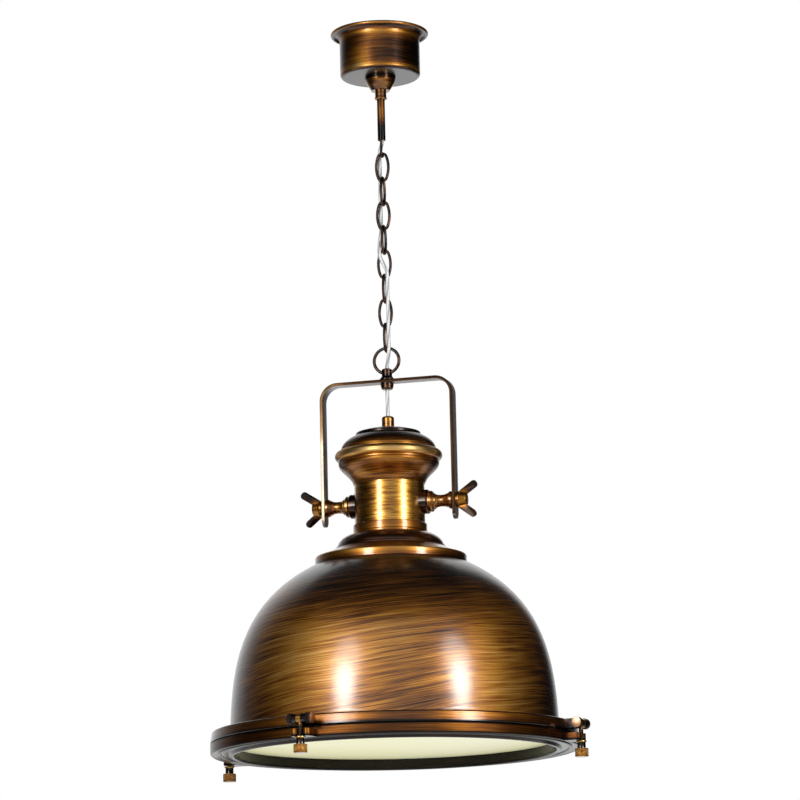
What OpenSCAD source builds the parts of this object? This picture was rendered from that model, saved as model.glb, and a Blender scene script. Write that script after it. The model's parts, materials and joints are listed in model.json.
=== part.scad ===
// Pendant light: canopy, chain, yoke, spun dome and a hinged glass lens ring held by swing bolts.
// The origin is the centre of the ceiling face, +Z is up and X runs along the yoke's pivots.

/* [Canopy] */
// Outer radius of the canopy's wall
canopy_r = 44.8; // [42:0.1:48]
// Flat width between the canopy's cove and its rolled lip
canopy_brim = 0; // [0:0.5:8]
// Height of the canopy
canopy_h = 51.6; // [48:0.1:70]
// Sheet thickness of the canopy
canopy_wall = 1.2; // [0.8:0.1:2]
// Radius of the bend at the foot of the canopy's wall
canopy_bend_r = 4; // [2.5:0.5:8]
// Radius of the cove between the wall and the lip
canopy_cove_r = 8; // [4:0.5:9]
// Drop of the bracket's middle below the ceiling
bracket_drop = 26; // [24:1:30]
// Width of the ceiling bracket
bracket_w = 18; // [16:1:24]
// Thickness of the ceiling bracket
bracket_t = 1.8; // [1.2:0.1:3]
// Distance between the ceiling screws
screw_spacing = 62; // [58:1:64]
// Width of the slots for the ceiling screws
screw_slot_w = 5; // [4:0.1:6]
// End-to-end length of the slots
screw_slot_len = 11; // [8:0.5:12]

/* [Stem] */
// Outer diameter of the stem tube
stem_d = 8.8; // [8.6:0.1:9.6]
// Inner diameter of the stem tube
stem_bore = 7.4; // [7.4:0.1:8]
// Diameter of the stem's threaded upper part
stem_thread_d = 9.8; // [9.7:0.1:12]
// Depth of the stem's lower end below the ceiling
stem_bottom = 124; // [110:1:126]
// Radius of the cone ferrule's wide end
cone_r = 16.6; // [13:0.2:18]
// Radius of the cone ferrule's narrow end
cone_tip_r = 10.4; // [10:0.2:13]
// Height of the cone ferrule
cone_h = 12.8; // [10:0.1:18]
// Thickness of the dark ring that seats the cone
seat_ring_t = 2.6; // [2:0.2:5]
// Height of the threaded collar under the cone
collar_nut_h = 10; // [8:0.5:14]
// Radius of the threaded collar
collar_nut_r = 6.3; // [6:0.1:8]

/* [Chain] */
// Number of chain links, an even number
link_count = 8; // [4:2:12]
// Depth of the first link's top below the ceiling
chain_top = 137.5; // [137.5:0.5:142]
// Outer length of a link
link_len = 34.4; // [32:0.2:40]
// Outer width of a link
link_w = 17.2; // [16:0.2:20]
// Wire diameter of a link
link_wire = 3.2; // [2.6:0.1:3.4]
// Wire diameter of the hook under the stem
hook_wire = 3; // [2.4:0.1:3.1]
// Gap between two wires that hang in each other
hang_gap = 0.3; // [0.3:0.05:0.5]

/* [Loop and yoke] */
// Outer diameter of the loop
loop_d = 32; // [30:0.5:36]
// Wire diameter of the loop
loop_wire = 3.6; // [3:0.1:3.8]
// Diameter of the hub that the loop is brazed to
hub_d = 11.5; // [11:0.1:13]
// Height of the hub above the yoke
hub_h = 12.6; // [11:0.2:14]
// Distance between the middles of the yoke's legs
yoke_span = 148.6; // [146:0.2:156]
// Height of the yoke's crossbar above the pivots
yoke_rise = 138.4; // [130:0.2:145]
// Width of the yoke's bar
yoke_bar_w = 15.5; // [14:0.5:20]
// Thickness of the yoke's bar
yoke_bar_t = 3.2; // [2.5:0.1:4]
// Outer radius of the yoke's corners
yoke_corner_r = 20; // [14:0.5:26]
// Reach of the yoke's legs below the pivots
yoke_foot = 21; // [16:0.5:26]

/* [Pivots] */
// Diameter of the pivot studs
stud_d = 6; // [5:0.2:7]
// Diameter of the saddle bosses
boss_d = 26.8; // [24:0.2:28]
// Largest diameter of the turned spacers
spacer_d = 23.4; // [20:0.2:24]
// Diameter of the spacers' waist
spacer_waist_d = 13.6; // [12:0.1:15]
// Diameter of the wing nuts' hub
wing_hub_d = 18.2; // [16:0.2:20]
// Reach of the wings from the axis
wing_reach = 20.8; // [18:0.2:24]
// Width of a wing
wing_w = 8; // [6:0.1:9]
// Turn of the left wing nut, its upper wing to the front
left_nut_turn = 32; // [-90:1:90]
// Turn of the right wing nut, its upper wing to the front
right_nut_turn = -11; // [-90:1:90]

/* [Cap and neck] */
// Height of the crown's middle above the pivots
crown_rise = 84.8; // [80:0.1:88]
// Radius of the crown disc
crown_r = 35.7; // [30:0.2:38]
// Radius of the lid at its groove
lid_r = 52.4; // [50:0.2:54]
// Reach of the cap's bead beyond the lid
bead_out = 6.6; // [5.6:0.1:8]
// Radius of the neck tube
neck_r = 38.6; // [38:0.1:41]
// Wall of the neck tube
neck_wall = 3; // [2:0.1:4]
// Height of the neck tube's upper end above the pivots
neck_top_rise = 21.6; // [18:0.2:24]
// Depth of the neck tube's lower end below the pivots
neck_foot = 23; // [20:0.2:26]
// Radius of the step ring under the neck
step_ring_r = 40.5; // [40:0.1:43]
// Radius of the collar's flange
flange_r = 83; // [76:0.5:90]

/* [Dome] */
// Distance from the rim's outside in to the dome's curve at its foot
dome_inset = 21; // [18:0.5:26]
// Depth of the dome from its crown to the top of the rim
dome_depth = 200.8; // [190:0.1:206]
// Height of the whole curve, of which the dome is the upper part
dome_h = 311.8; // [300:0.2:330]
// Exponent of the dome's curve up its height
dome_n = 4.757; // [4.5:0.01:5]
// Exponent of the dome's curve across its radius
dome_m = 1.696; // [1.6:0.01:1.8]
// Sheet thickness of the dome
dome_wall = 1.2; // [0.8:0.1:2]
// Radius of the hole at the dome's top
dome_hole_r = 42; // [36:1:46]

/* [Rim and glass] */
// Outer radius of the rim
rim_r = 200; // [196:0.5:206]
// Height of the upper ring
upper_ring_h = 11.7; // [11:0.1:14]
// Wall of the upper ring
upper_ring_wall = 2.5; // [2:0.1:4]
// Height of the lens ring
lens_ring_h = 11.8; // [11.5:0.1:15]
// Wall of the lens ring
lens_wall = 2.5; // [2:0.1:4]
// Width of the lens ring, from its outside in to its opening
lens_ring_w = 25.5; // [24:0.5:34]
// Drop of the lens ring's lip below its outer edge
lens_lip_drop = 2.2; // [0:0.1:4]
// Gap between the two rings
ring_gap = 1; // [0.3:0.1:1.2]
// Thickness of the glass
glass_t = 4; // [3:0.1:5]
// Distance from the rim's outside in to the glass's edge
glass_inset = 8; // [5:0.5:12]
// Thickness of the gasket on the glass
gasket_t = 2.5; // [2:0.1:3]

/* [Latches] */
// Turn of the latches and the hinge against the yoke
latch_turn = -10.9; // [-20:0.1:0]
// Turn of each side latch from the front one
side_turn = 93.9; // [88:0.1:96]
// Distance from the rim's wall to the latch pins
pin_reach = 15; // [13:0.2:18]
// Diameter of the latch pins
pin_d = 4.4; // [3.6:0.1:5]
// Thickness of an ear
ear_t = 5; // [4:0.1:6]
// Radius of the ears' round ends
ear_r = 5; // [4.8:0.1:5.6]
// Diameter of a swing bolt
bolt_d = 4.8; // [4:0.1:5.4]
// Width of a fork lug
lug_w = 22; // [20:0.5:26]
// Height of a fork lug
lug_h = 8; // [7:0.2:10]
// Diameter of a thumb nut's knurled head
thumb_d = 14.4; // [13:0.2:18]
// Diameter of a thumb nut's neck
thumb_neck_d = 9; // [8.6:0.1:11]
// Height of a thumb nut's neck, with its washer
thumb_neck_h = 8.2; // [6:0.1:9]
// Height of a thumb nut's head
thumb_head_h = 9; // [7:0.1:11]

/* [Cord and lamp] */
// Diameter of the cord
cord_d = 4.2; // [3.6:0.1:4.2]
// Radius of the lamp holder
holder_r = 19; // [17:0.5:20]
// Radius of the lamp's bulb
bulb_r = 30; // [25:1:32]
// Length of the lamp below its holder
bulb_len = 88; // [80:1:90]

/* [Hidden] */
$fn = 72;

// Clearances
seat_gap = 0.1;
run_gap = 0.1;
face_gap = 0.3;

// Canopy and bracket
bead_wire_r = 1.9;
lip_c = canopy_r + canopy_cove_r + canopy_brim;
pad_end = screw_spacing / 2 + screw_slot_len / 2 + 2.5;
bracket_mid = 16;
bracket_foot = 23;
stem_nut_af = 14;
stem_nut_h = 4;
stem_top = bracket_drop - stem_nut_h - 2;
web_run = bracket_foot - bracket_mid;
web_shift = bracket_t * (norm([bracket_drop, web_run]) - web_run) / bracket_drop;
block_size = [20, 12, 14];
block_y = 20;

// Stem, cone and hook
cone_top = canopy_h + seat_ring_t;
collar_top = cone_top + cone_h;
collar_bottom = collar_top + collar_nut_h;
stem_thread_end = collar_bottom - 2;
hook_arm_y = link_wire / 2 + hook_wire / 2 + face_gap;
hook_shank_y = stem_bore / 2 - hook_wire / 2 - 0.05;
hook_bend_a = atan2(3, 4);
hook_bend_r = 2.5 * (hook_arm_y - hook_shank_y);

// Chain: a link's end and side arcs meet on a line of slope 44/117, which keeps their centres round
link_steps = round((link_len - link_w) / 2 / 0.036);
link_half_w = (link_w - link_wire) / 2;
link_half_l = link_half_w + 0.036 * link_steps;
link_end_r = link_half_w - 0.008 * link_steps;
link_end_c = 0.044 * link_steps;
link_side_r = link_half_w + 0.117 * link_steps;
link_joint_a = atan2(44, 117);
link_pitch = 2 * link_half_l - link_wire - hang_gap;
butt_gap = 0.35;
hook_axis_z = -chain_top - link_wire - hook_wire / 2 - hang_gap;
function link_z(k) = -chain_top - link_wire / 2 - link_half_l - (k - 1) * link_pitch;
chain_end_z = link_z(link_count) - link_half_l;

// Loop, hub and yoke
loop_r = (loop_d - loop_wire) / 2;
loop_z = chain_end_z + link_wire / 2 + loop_wire / 2 + hang_gap - loop_r;
hub_top_z = loop_z - 9.3;
yoke_top_z = hub_top_z - hub_h;
yoke_low_z = yoke_top_z - yoke_bar_t;
pivot_z = yoke_top_z - yoke_rise;
hub_base_d = 16.5;
hub_thread_d = 9.6;
hub_bore = cord_d + 0.8;
nut_d = 14.5;
yoke_nut_h = 3.8;
grip_h = 3.7;
leg_in = yoke_span / 2 - yoke_bar_t / 2;
leg_out = leg_in + yoke_bar_t;

// Pivots
spacer_end = leg_in - face_gap;
boss_end = neck_r + 6.4;
wing_start = leg_out + face_gap;
wing_hub_l = 11.4;
wing_tip_x = 18.6;
wing_t = 3.4;
stud_in = neck_r - neck_wall - 6;
stud_out = wing_start + wing_hub_l - 3;
inner_nut_af = 10;
inner_nut_h = 5;
inner_nut_out = sqrt(pow(neck_r - neck_wall, 2) - pow(inner_nut_af / sqrt(3), 2)) - seat_gap;

// Cap, neck and collar
crown_z = pivot_z + crown_rise;
crown_drop = 6;
crown_step = 2.8;
lid_h = 15.8;
lid_base_z = crown_z - crown_drop - crown_step - lid_h;
bead_r = lid_r + bead_out;
bead_h = 11.6;
groove_h = 1.2;
bead_z = lid_base_z - groove_h - bead_h / 2;
bell_top_z = bead_z - bead_h / 2 - groove_h;
neck_top_z = pivot_z + neck_top_rise;
neck_low_z = pivot_z - neck_foot;
shell = 2.4;
spigot_h = 6;
gland_d = 13.7;
gland_h = 12.9;
gland_thread_d = 9.6;
bell_foot_r = neck_r + 0.6;
step_low_z = neck_low_z - 8.6;
flare_r = 58.6;
flare_z = step_low_z - 15.6;
flange_top_z = flare_z - 10.6;

// Dome curve above its foot line: r(z) = r0 (1 - ((z - foot) / h)^n)^(1/m), and its inverse z(r)
crown_over_flange = 10.8;
dome_r0 = rim_r - dome_inset;
dome_top_z = flange_top_z + crown_over_flange;
dome_foot_z = dome_top_z - dome_h;
function dome_radius(z, r0, h) = r0 * pow(1 - pow((z - dome_foot_z) / h, dome_n), 1 / dome_m);
function dome_level(r, r0, h) = h * pow(1 - pow(r / r0, dome_m), 1 / dome_n) + dome_foot_z;
dome_in_r0 = dome_r0 - dome_wall;
dome_in_h = dome_h - dome_wall;
dome_steps = 26;
rim_top_z = dome_top_z - dome_depth;
rim_shoulder_z = rim_top_z - 6.4;
rim_lean = 1.6;
dome_flange_z = rim_shoulder_z - seat_gap;
plate_r = 58;
plate_t = 2;
plate_top_z = floor(10 * (dome_level(plate_r, dome_in_r0, dome_in_h) - seat_gap)) / 10;
screw_circle_r = 50;
screw_turns = [30, 150, 270];
screw_d = 4;
screw_reach = 6;
screw_head_d = 7.6;
screw_head_h = 3;
screw_socket_d = 3.4;
post_d = 8;
holder_screw_d = 3;
plate_hole_r = holder_r + 0.5;
holder_flange_r = 27;
holder_screw_x = holder_flange_r - 3.5;
holder_flange_t = 4.5;
holder_low_z = plate_top_z - plate_t - holder_flange_t;
holder_h = 40;
lamp_thread_r = 13;
lamp_cap_h = 26;
lamp_neck_r = 14;

// Rim, gasket, glass and lens ring
ring_low_z = rim_top_z - upper_ring_h;
lens_top_z = ring_low_z - ring_gap;
lens_low_z = lens_top_z - lens_ring_h;
gasket_top_z = dome_flange_z - dome_wall;
glass_top_z = gasket_top_z - gasket_t;
glass_low_z = glass_top_z - glass_t;
glass_r = rim_r - glass_inset;
lens_open_r = rim_r - lens_ring_w;
lens_bead_r = 1.6;
lip_bead_r = 2.4;
lens_edge_r = 2.2;

// Latches: the three stations with bolts, then the hinge
pin_r = rim_r + pin_reach;
pin_z = rim_top_z - 6;
ear_gap = 5.6;
eye_w = ear_gap - 2 * 0.2;
pin_half = ear_gap / 2 + ear_t;
pin_head_r = 5.7;
pin_head_l = 6.6;
fork_slot = bolt_d + 1.4;
tine_past = 2.3;
nut_top_z = lens_low_z - face_gap;
nut_neck_z = nut_top_z - thumb_neck_h;
nut_low_z = nut_neck_z - thumb_head_h;
bolt_low_z = nut_low_z + 3;
stations = [0, side_turn, -side_turn, 180];
hinge_foot_z = lens_low_z + 4;
washer_t = 1.6;

// Cord route, chosen by hand: terminal block, stem, past the chain, hub, gland, lamp holder
cord_sides = 10;
cord_points = [
  [0, 20, -35.3], [0, 20, -28], [0, 19.8, -21], [0, 18.4, -14.5], [0, 15, -9.3], [0, 10.5, -7.2],
  [0, 6, -8.6], [0, 2.6, -13], [0, 1.5, -18.5], [0, 1.5, -26], [0, 1.5, -75], [0, 1.5, -124.5],
  [-0.8, 2.1, -128], [-2.4, 3.5, -131.5], [-3.8, 4.6, -135.5], [-4.3, 4.8, -141], [-4.3, 4.7, -152],
  [-4.3, 4.6, -180], [-4.3, 4.6, -210], [-4.3, 4.6, -222], [-4.4, 4.2, -228], [-4.6, 2.6, -233],
  [-4.7, 0, -237.8], [-4.6, -2.6, -242.5], [-4.4, -4.4, -247.5], [-4.2, -5, -253], [-3.2, -5.2, -258.5],
  [0, -5.2, -265.7], [3.2, -5.2, -272.5], [4.3, -5, -278], [4.3, -4.7, -286], [4.3, -4.6, -310],
  [4.3, -4.6, -340], [4.3, -4.6, -359], [4, -4.2, -366], [2.8, -3, -372], [1.2, -1.4, -378],
  [0.2, -0.3, -383], [0, 0, -388], [0, 0, -420], [0, 0, -460], [0, 0, -510], [0, 0, -570]
];

// Points of an arc about c, from a0 to a1 in n steps
function arc(c, r, a0, a1, n) = [for (i = [0:n]) let (a = a0 + (a1 - a0) * i / n) c + r * [cos(a), sin(a)]];
// Points of a cubic curve with two control points
function curve(p, q, s, e, n) = [for (i = [0:n]) let (t = i / n, u = 1 - t)
  u * u * u * p + 3 * u * u * t * q + 3 * u * t * t * s + t * t * t * e];
// Points down the dome's curve from radius r1 to the level z2, closer together near the top
function dome_line(r0, h, r1, z2, n) = let (z1 = dome_level(r1, r0, h))
  [for (i = [0:n]) let (z = z1 - (z1 - z2) * (1 - cos(90 * i / n)))
    [i == 0 ? r1 : dome_radius(z, r0, h), z]];
function flip(list) = [for (i = [len(list) - 1:-1:0]) list[i]];
function unit(v) = v / norm(v);

// A solid of revolution from a list of [radius, level]
module turned(points) {
  rotate_extrude() polygon(points);
}

// A flat washer or tube between two levels
module ring(r_out, r_in, z_low, z_high) {
  translate([0, 0, z_low]) difference() {
    cylinder(h = z_high - z_low, r = r_out);
    translate([0, 0, -1]) cylinder(h = z_high - z_low + 2, r = r_in);
  }
}

// A bent wire in the XY plane about the origin, from angle a0 to a1
module bent_wire(r, a0, a1, d) {
  rotate([0, 0, a0]) rotate_extrude(angle = a1 - a0) translate([r, 0]) circle(d = d, $fn = 32);
}

// A cylinder along X from x0 to x1
module along_x(d, x0, x1) {
  translate([x0, 0, 0]) rotate([0, 90, 0]) cylinder(h = x1 - x0, d = d);
}

// Both sides of the neck, at the pivots
module both_pivots() {
  for (s = [0, 180]) translate([0, 0, pivot_z]) rotate([0, 0, s]) children();
}

// One latch station: outwards is -Y
module at_station(a) {
  rotate([0, 0, latch_turn + a]) children();
}

module ceiling_bracket() {
  color("silver") difference() {
    translate([0, bracket_w / 2, 0]) rotate([90, 0, 0]) linear_extrude(bracket_w) polygon([
      [-pad_end, 0], [-bracket_foot, 0], [-bracket_mid, -bracket_drop], [bracket_mid, -bracket_drop],
      [bracket_foot, 0], [pad_end, 0], [pad_end, -bracket_t], [bracket_foot + web_shift, -bracket_t],
      [bracket_mid + web_shift, -bracket_drop - bracket_t],
      [-bracket_mid - web_shift, -bracket_drop - bracket_t],
      [-bracket_foot - web_shift, -bracket_t], [-pad_end, -bracket_t]
    ]);
    for (s = [-1, 1]) translate([s * screw_spacing / 2, 0, -bracket_t - 1]) slot_cut();
    translate([0, 0, -bracket_drop - bracket_t - 1])
      cylinder(h = bracket_t + 2, d = stem_thread_d + 2 * seat_gap);
  }
}

module slot_cut() {
  run = (screw_slot_len - screw_slot_w) / 2;
  for (s = [-1, 1]) translate([s * run, 0, 0]) cylinder(h = bracket_t + 2, d = screw_slot_w);
  translate([-run, -screw_slot_w / 2, 0]) cube([2 * run, screw_slot_w, bracket_t + 2]);
}

module stem_nuts() {
  color("silver") for (z = [-bracket_drop, -bracket_drop - bracket_t - stem_nut_h]) translate([0, 0, z])
    difference() {
      cylinder(h = stem_nut_h, d = stem_nut_af / cos(30), $fn = 6);
      translate([0, 0, -1]) cylinder(h = stem_nut_h + 2, d = stem_thread_d + 2 * seat_gap);
    }
}

module terminal_block() {
  color("white") translate([-block_size[0] / 2, block_y - block_size[1] / 2, -canopy_h + canopy_wall])
    difference() {
      cube(block_size);
      for (i = [0.5:1:2.5]) translate([block_size[0] * i / 3, -1, block_size[2] / 3]) rotate([-90, 0, 0])
        cylinder(h = 4, d = 3.4);
      for (i = [0.5, 2.5]) translate([block_size[0] * i / 3, block_size[1] / 2, block_size[2] - 3])
        cylinder(h = 4, d = 3.4);
    }
}

module canopy() {
  wall_top = -bead_wire_r - canopy_cove_r;
  cove_c = [canopy_r + canopy_cove_r, wall_top];
  foot_c = [canopy_r - canopy_bend_r, canopy_bend_r - canopy_h];
  hole_r = stem_thread_d / 2 + seat_gap;
  color("saddlebrown") rotate_extrude() union() {
    polygon(concat(
      [[hole_r, -canopy_h]],
      arc(foot_c, canopy_bend_r, -90, 0, 6),
      arc(cove_c, canopy_cove_r, 180, 90, 8),
      [[lip_c, -bead_wire_r], [lip_c, canopy_wall - bead_wire_r]],
      arc(cove_c, canopy_cove_r + canopy_wall, 90, 180, 8),
      arc(foot_c, canopy_bend_r - canopy_wall, 0, -90, 6),
      [[hole_r, canopy_wall - canopy_h]]
    ));
    translate([lip_c, -bead_wire_r]) circle(r = bead_wire_r, $fn = 32);
  }
}

module canopy_seat_ring() {
  color("#2a1a10") ring(cone_r + 0.6, stem_thread_d / 2 + seat_gap, -cone_top, -canopy_h);
}

module canopy_cone() {
  hole_r = stem_thread_d / 2 + seat_gap;
  color("#b07a2c") turned(concat(
    [[hole_r, -cone_top]],
    [[cone_r, -cone_top]],
    curve([cone_r, -cone_top - 1.5], [cone_r - 1, -cone_top - 4.5], [cone_tip_r + 2, -collar_top + 3.5],
      [cone_tip_r, -collar_top + 0.8], 8),
    [[cone_tip_r, -collar_top]],
    [[hole_r, -collar_top]]
  ));
}

module stem_collar() {
  hole_r = stem_thread_d / 2 + seat_gap;
  color("#8a5a24") turned([
    [hole_r, -collar_top], [collar_nut_r, -collar_top], [collar_nut_r, -collar_bottom + 3],
    [collar_nut_r + 0.6, -collar_bottom + 2], [collar_nut_r + 0.6, -collar_bottom + 0.8],
    [collar_nut_r - 0.6, -collar_bottom], [hole_r, -collar_bottom]
  ]);
}

module stem_tube() {
  color("#5a3a1c") difference() {
    union() {
      translate([0, 0, -stem_bottom]) cylinder(h = stem_bottom - stem_top, d = stem_d);
      translate([0, 0, -stem_thread_end]) cylinder(h = stem_thread_end - stem_top, d = stem_thread_d);
    }
    translate([0, 0, -stem_bottom - 1]) cylinder(h = stem_bottom - stem_top + 2, d = stem_bore);
  }
}

// A wire hook in the YZ plane: shank up the stem, a set to the front, a half turn, a short tip
module chain_hook() {
  arc_z = hook_axis_z + hook_arm_y;
  set_z = arc_z + 2.5;
  shank_z = set_z + 2 * hook_bend_r * sin(hook_bend_a);
  color("#2a1d14") {
    translate([0, -hook_shank_y, shank_z]) cylinder(h = -collar_top - shank_z, d = hook_wire, $fn = 32);
    rotate([90, 0, 90]) {
      translate([-hook_shank_y - hook_bend_r, shank_z]) mirror([0, 1, 0])
        bent_wire(hook_bend_r, 0, hook_bend_a, hook_wire);
      translate([-hook_arm_y + hook_bend_r, set_z]) mirror([1, 0, 0])
        bent_wire(hook_bend_r, 0, hook_bend_a, hook_wire);
      translate([0, arc_z]) mirror([0, 1, 0]) bent_wire(hook_arm_y, 0, 180, hook_wire);
    }
    translate([0, -hook_arm_y, arc_z]) cylinder(h = 2.5, d = hook_wire, $fn = 32);
    translate([0, hook_arm_y, arc_z]) cylinder(h = 1.5, d = hook_wire, $fn = 32);
  }
}

// One oval link in the XZ plane: two tight ends and two wide sides, with the wire's butt joint at -X
module link_shape() {
  butt_a = asin(butt_gap / 2 / link_side_r);
  side_c = link_half_w - link_side_r;
  rotate([90, 0, 0]) {
    for (s = [0, 180]) rotate([0, 0, s]) translate([0, link_end_c, 0])
      bent_wire(link_end_r, link_joint_a, 180 - link_joint_a, link_wire);
    translate([side_c, 0, 0]) bent_wire(link_side_r, -link_joint_a, link_joint_a, link_wire);
    for (m = [0, 1]) mirror([0, m, 0]) translate([-side_c, 0, 0])
      bent_wire(link_side_r, 180 - link_joint_a, 180 - butt_a, link_wire);
  }
}

module chain_link(k) {
  color("#3a2817") translate([0, 0, link_z(k)]) rotate([0, 0, k % 2 == 0 ? -90 : 0]) link_shape();
}

module yoke_loop() {
  color("#3a2817") difference() {
    translate([0, 0, loop_z]) rotate([90, 0, 0])
      rotate_extrude() translate([loop_r, 0]) circle(d = loop_wire, $fn = 32);
    translate([0, 0, yoke_top_z]) cylinder(h = hub_h, d = hub_d);
  }
}

module yoke_hub() {
  thread_end = yoke_low_z - yoke_nut_h;
  color("#3a2817") turned([
    [hub_bore / 2, hub_top_z - 0.6], [hub_bore / 2 + 0.6, hub_top_z], [hub_d / 2 - 1, hub_top_z],
    [hub_d / 2, hub_top_z - 1], [hub_d / 2, yoke_top_z + 4.5], [hub_base_d / 2 - 0.8, yoke_top_z + 2.2],
    [hub_base_d / 2, yoke_top_z + 1.4], [hub_base_d / 2, yoke_top_z], [hub_thread_d / 2, yoke_top_z],
    [hub_thread_d / 2, thread_end], [hub_bore / 2, thread_end]
  ]);
}

module yoke_strap() {
  inner_r = yoke_corner_r - yoke_bar_t;
  foot_z = pivot_z - yoke_foot;
  round_r = yoke_bar_w / 2;
  color("#7a5230") difference() {
    translate([0, yoke_bar_w / 2, 0]) rotate([90, 0, 0]) linear_extrude(yoke_bar_w) difference() {
      yoke_outline(leg_out, yoke_top_z, yoke_corner_r, foot_z);
      yoke_outline(leg_in, yoke_low_z, inner_r, foot_z - 1);
    }
    difference() {
      translate([-leg_out - 1, -yoke_bar_w, foot_z - 1])
        cube([2 * leg_out + 2, 2 * yoke_bar_w, round_r + 1]);
      translate([0, 0, foot_z + round_r]) along_x(yoke_bar_w, -leg_out - 2, leg_out + 2);
    }
    translate([0, 0, pivot_z]) along_x(stud_d + 2 * face_gap, -leg_out - 1, leg_out + 1);
    translate([0, 0, yoke_low_z - 1]) cylinder(h = yoke_bar_t + 2, d = hub_thread_d + 2 * seat_gap);
  }
}

// The yoke's side view filled in: straight legs, a crossbar and round corners
module yoke_outline(half, top, r, foot) {
  translate([-half, foot]) square([2 * half, top - r - foot]);
  translate([-half + r, top - r - 1]) square([2 * half - 2 * r, r + 1]);
  for (s = [-1, 1]) translate([s * (half - r), top - r]) circle(r = r);
}

module yoke_nut() {
  color("#2a1d14") ring(nut_d / 2, hub_thread_d / 2 + seat_gap, yoke_low_z - yoke_nut_h, yoke_low_z);
}

module cord_grip() {
  top = yoke_low_z - yoke_nut_h;
  color("#2a1d14") turned([
    [hub_bore / 2, top], [nut_d / 2 - 0.6, top], [nut_d / 2 - 0.6, top - 2], [nut_d / 2 - 2, top - grip_h],
    [hub_bore / 2, top - grip_h]
  ]);
}

module cap_gland() {
  low = crown_z;
  bore = cord_d / 2 + face_gap;
  color("#b07a2c") turned(concat(
    [[bore, low + gland_h]],
    arc([gland_d / 2 - 2.5, low + gland_h - 2.5], 2.5, 90, 0, 5),
    [[gland_d / 2, low + 0.8], [gland_d / 2 - 0.6, low], [gland_thread_d / 2, low],
      [gland_thread_d / 2, low - 9], [bore, low - 9]]
  ));
}

module gland_nut() {
  top = crown_z - shell;
  color("silver") translate([0, 0, top - 4]) difference() {
    cylinder(h = 4, d = 14 / cos(30), $fn = 6);
    translate([0, 0, -1]) cylinder(h = 6, d = gland_thread_d + 2 * seat_gap);
  }
}

module cap_lid() {
  hole_r = gland_thread_d / 2 + seat_gap;
  crown_c = crown_z - crown_drop;
  foot_r = crown_r + 0.6;
  lid_top_z = crown_c - crown_step;
  seat_z = lid_base_z - groove_h;
  color("#8a5a24") turned(concat(
    [[hole_r, crown_z]],
    curve([10, crown_z], [20, crown_z - 0.6], [crown_r - 6, crown_c + 2.4],
      [crown_r - 0.8, crown_c + 0.7], 8),
    [[crown_r, crown_c - 0.3], [crown_r, crown_c - 2.2]],
    curve([foot_r, lid_top_z], [foot_r + 6.5, lid_top_z - 2.6], [lid_r - 0.8, lid_base_z + 8],
      [lid_r, lid_base_z], 10),
    [[lid_r - 1, lid_base_z - 0.4], [lid_r - 1, seat_z], [lid_r - 3, seat_z],
      [lid_r - 3, seat_z - 4], [lid_r - 3 - shell, seat_z - 4], [lid_r - 3 - shell, lid_base_z]],
    [for (a = [80:-16:0])
      [crown_r - shell + (lid_r - 3 - crown_r) * sin(a), lid_base_z + (lid_h - shell) * cos(a)]],
    [[crown_r - 6, crown_c - shell + 2], [18, crown_z - shell], [hole_r, crown_z - shell]]
  ));
}

module cap_bell() {
  bead_c = [bead_r - bead_h / 2, bead_z];
  seat_z = lid_base_z - groove_h;
  inner_r = neck_r - neck_wall;
  color("#7a4c20") turned(concat(
    [[lid_r - 3 + seat_gap, seat_z], [lid_r, seat_z]],
    arc(bead_c, bead_h / 2, 85, -85, 10),
    [[lid_r + 2.2, bell_top_z + groove_h], [lid_r + 2.2, bell_top_z]],
    curve([lid_r + 3, bell_top_z - 1], [lid_r + 2.8, bell_top_z - 9.6],
      [bell_foot_r + 3.3, neck_top_z + 11.4], [bell_foot_r, neck_top_z], 12),
    [[inner_r - seat_gap, neck_top_z], [inner_r - seat_gap, neck_top_z - spigot_h],
      [inner_r - shell, neck_top_z - spigot_h], [inner_r - shell, neck_top_z]],
    curve([inner_r - shell, neck_top_z + 2], [inner_r + 1, neck_top_z + 12], [lid_r - 1, bell_top_z - 10],
      [lid_r - 1, bell_top_z], 8),
    [[lid_r - 1, bead_z], [lid_r - 3 + seat_gap, bead_z]]
  ));
}

module neck_tube() {
  color("#c08a3c") difference() {
    ring(neck_r, neck_r - neck_wall, neck_low_z, neck_top_z);
    translate([0, 0, pivot_z]) along_x(stud_d + 2 * seat_gap, -neck_r - 1, neck_r + 1);
  }
}

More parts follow.
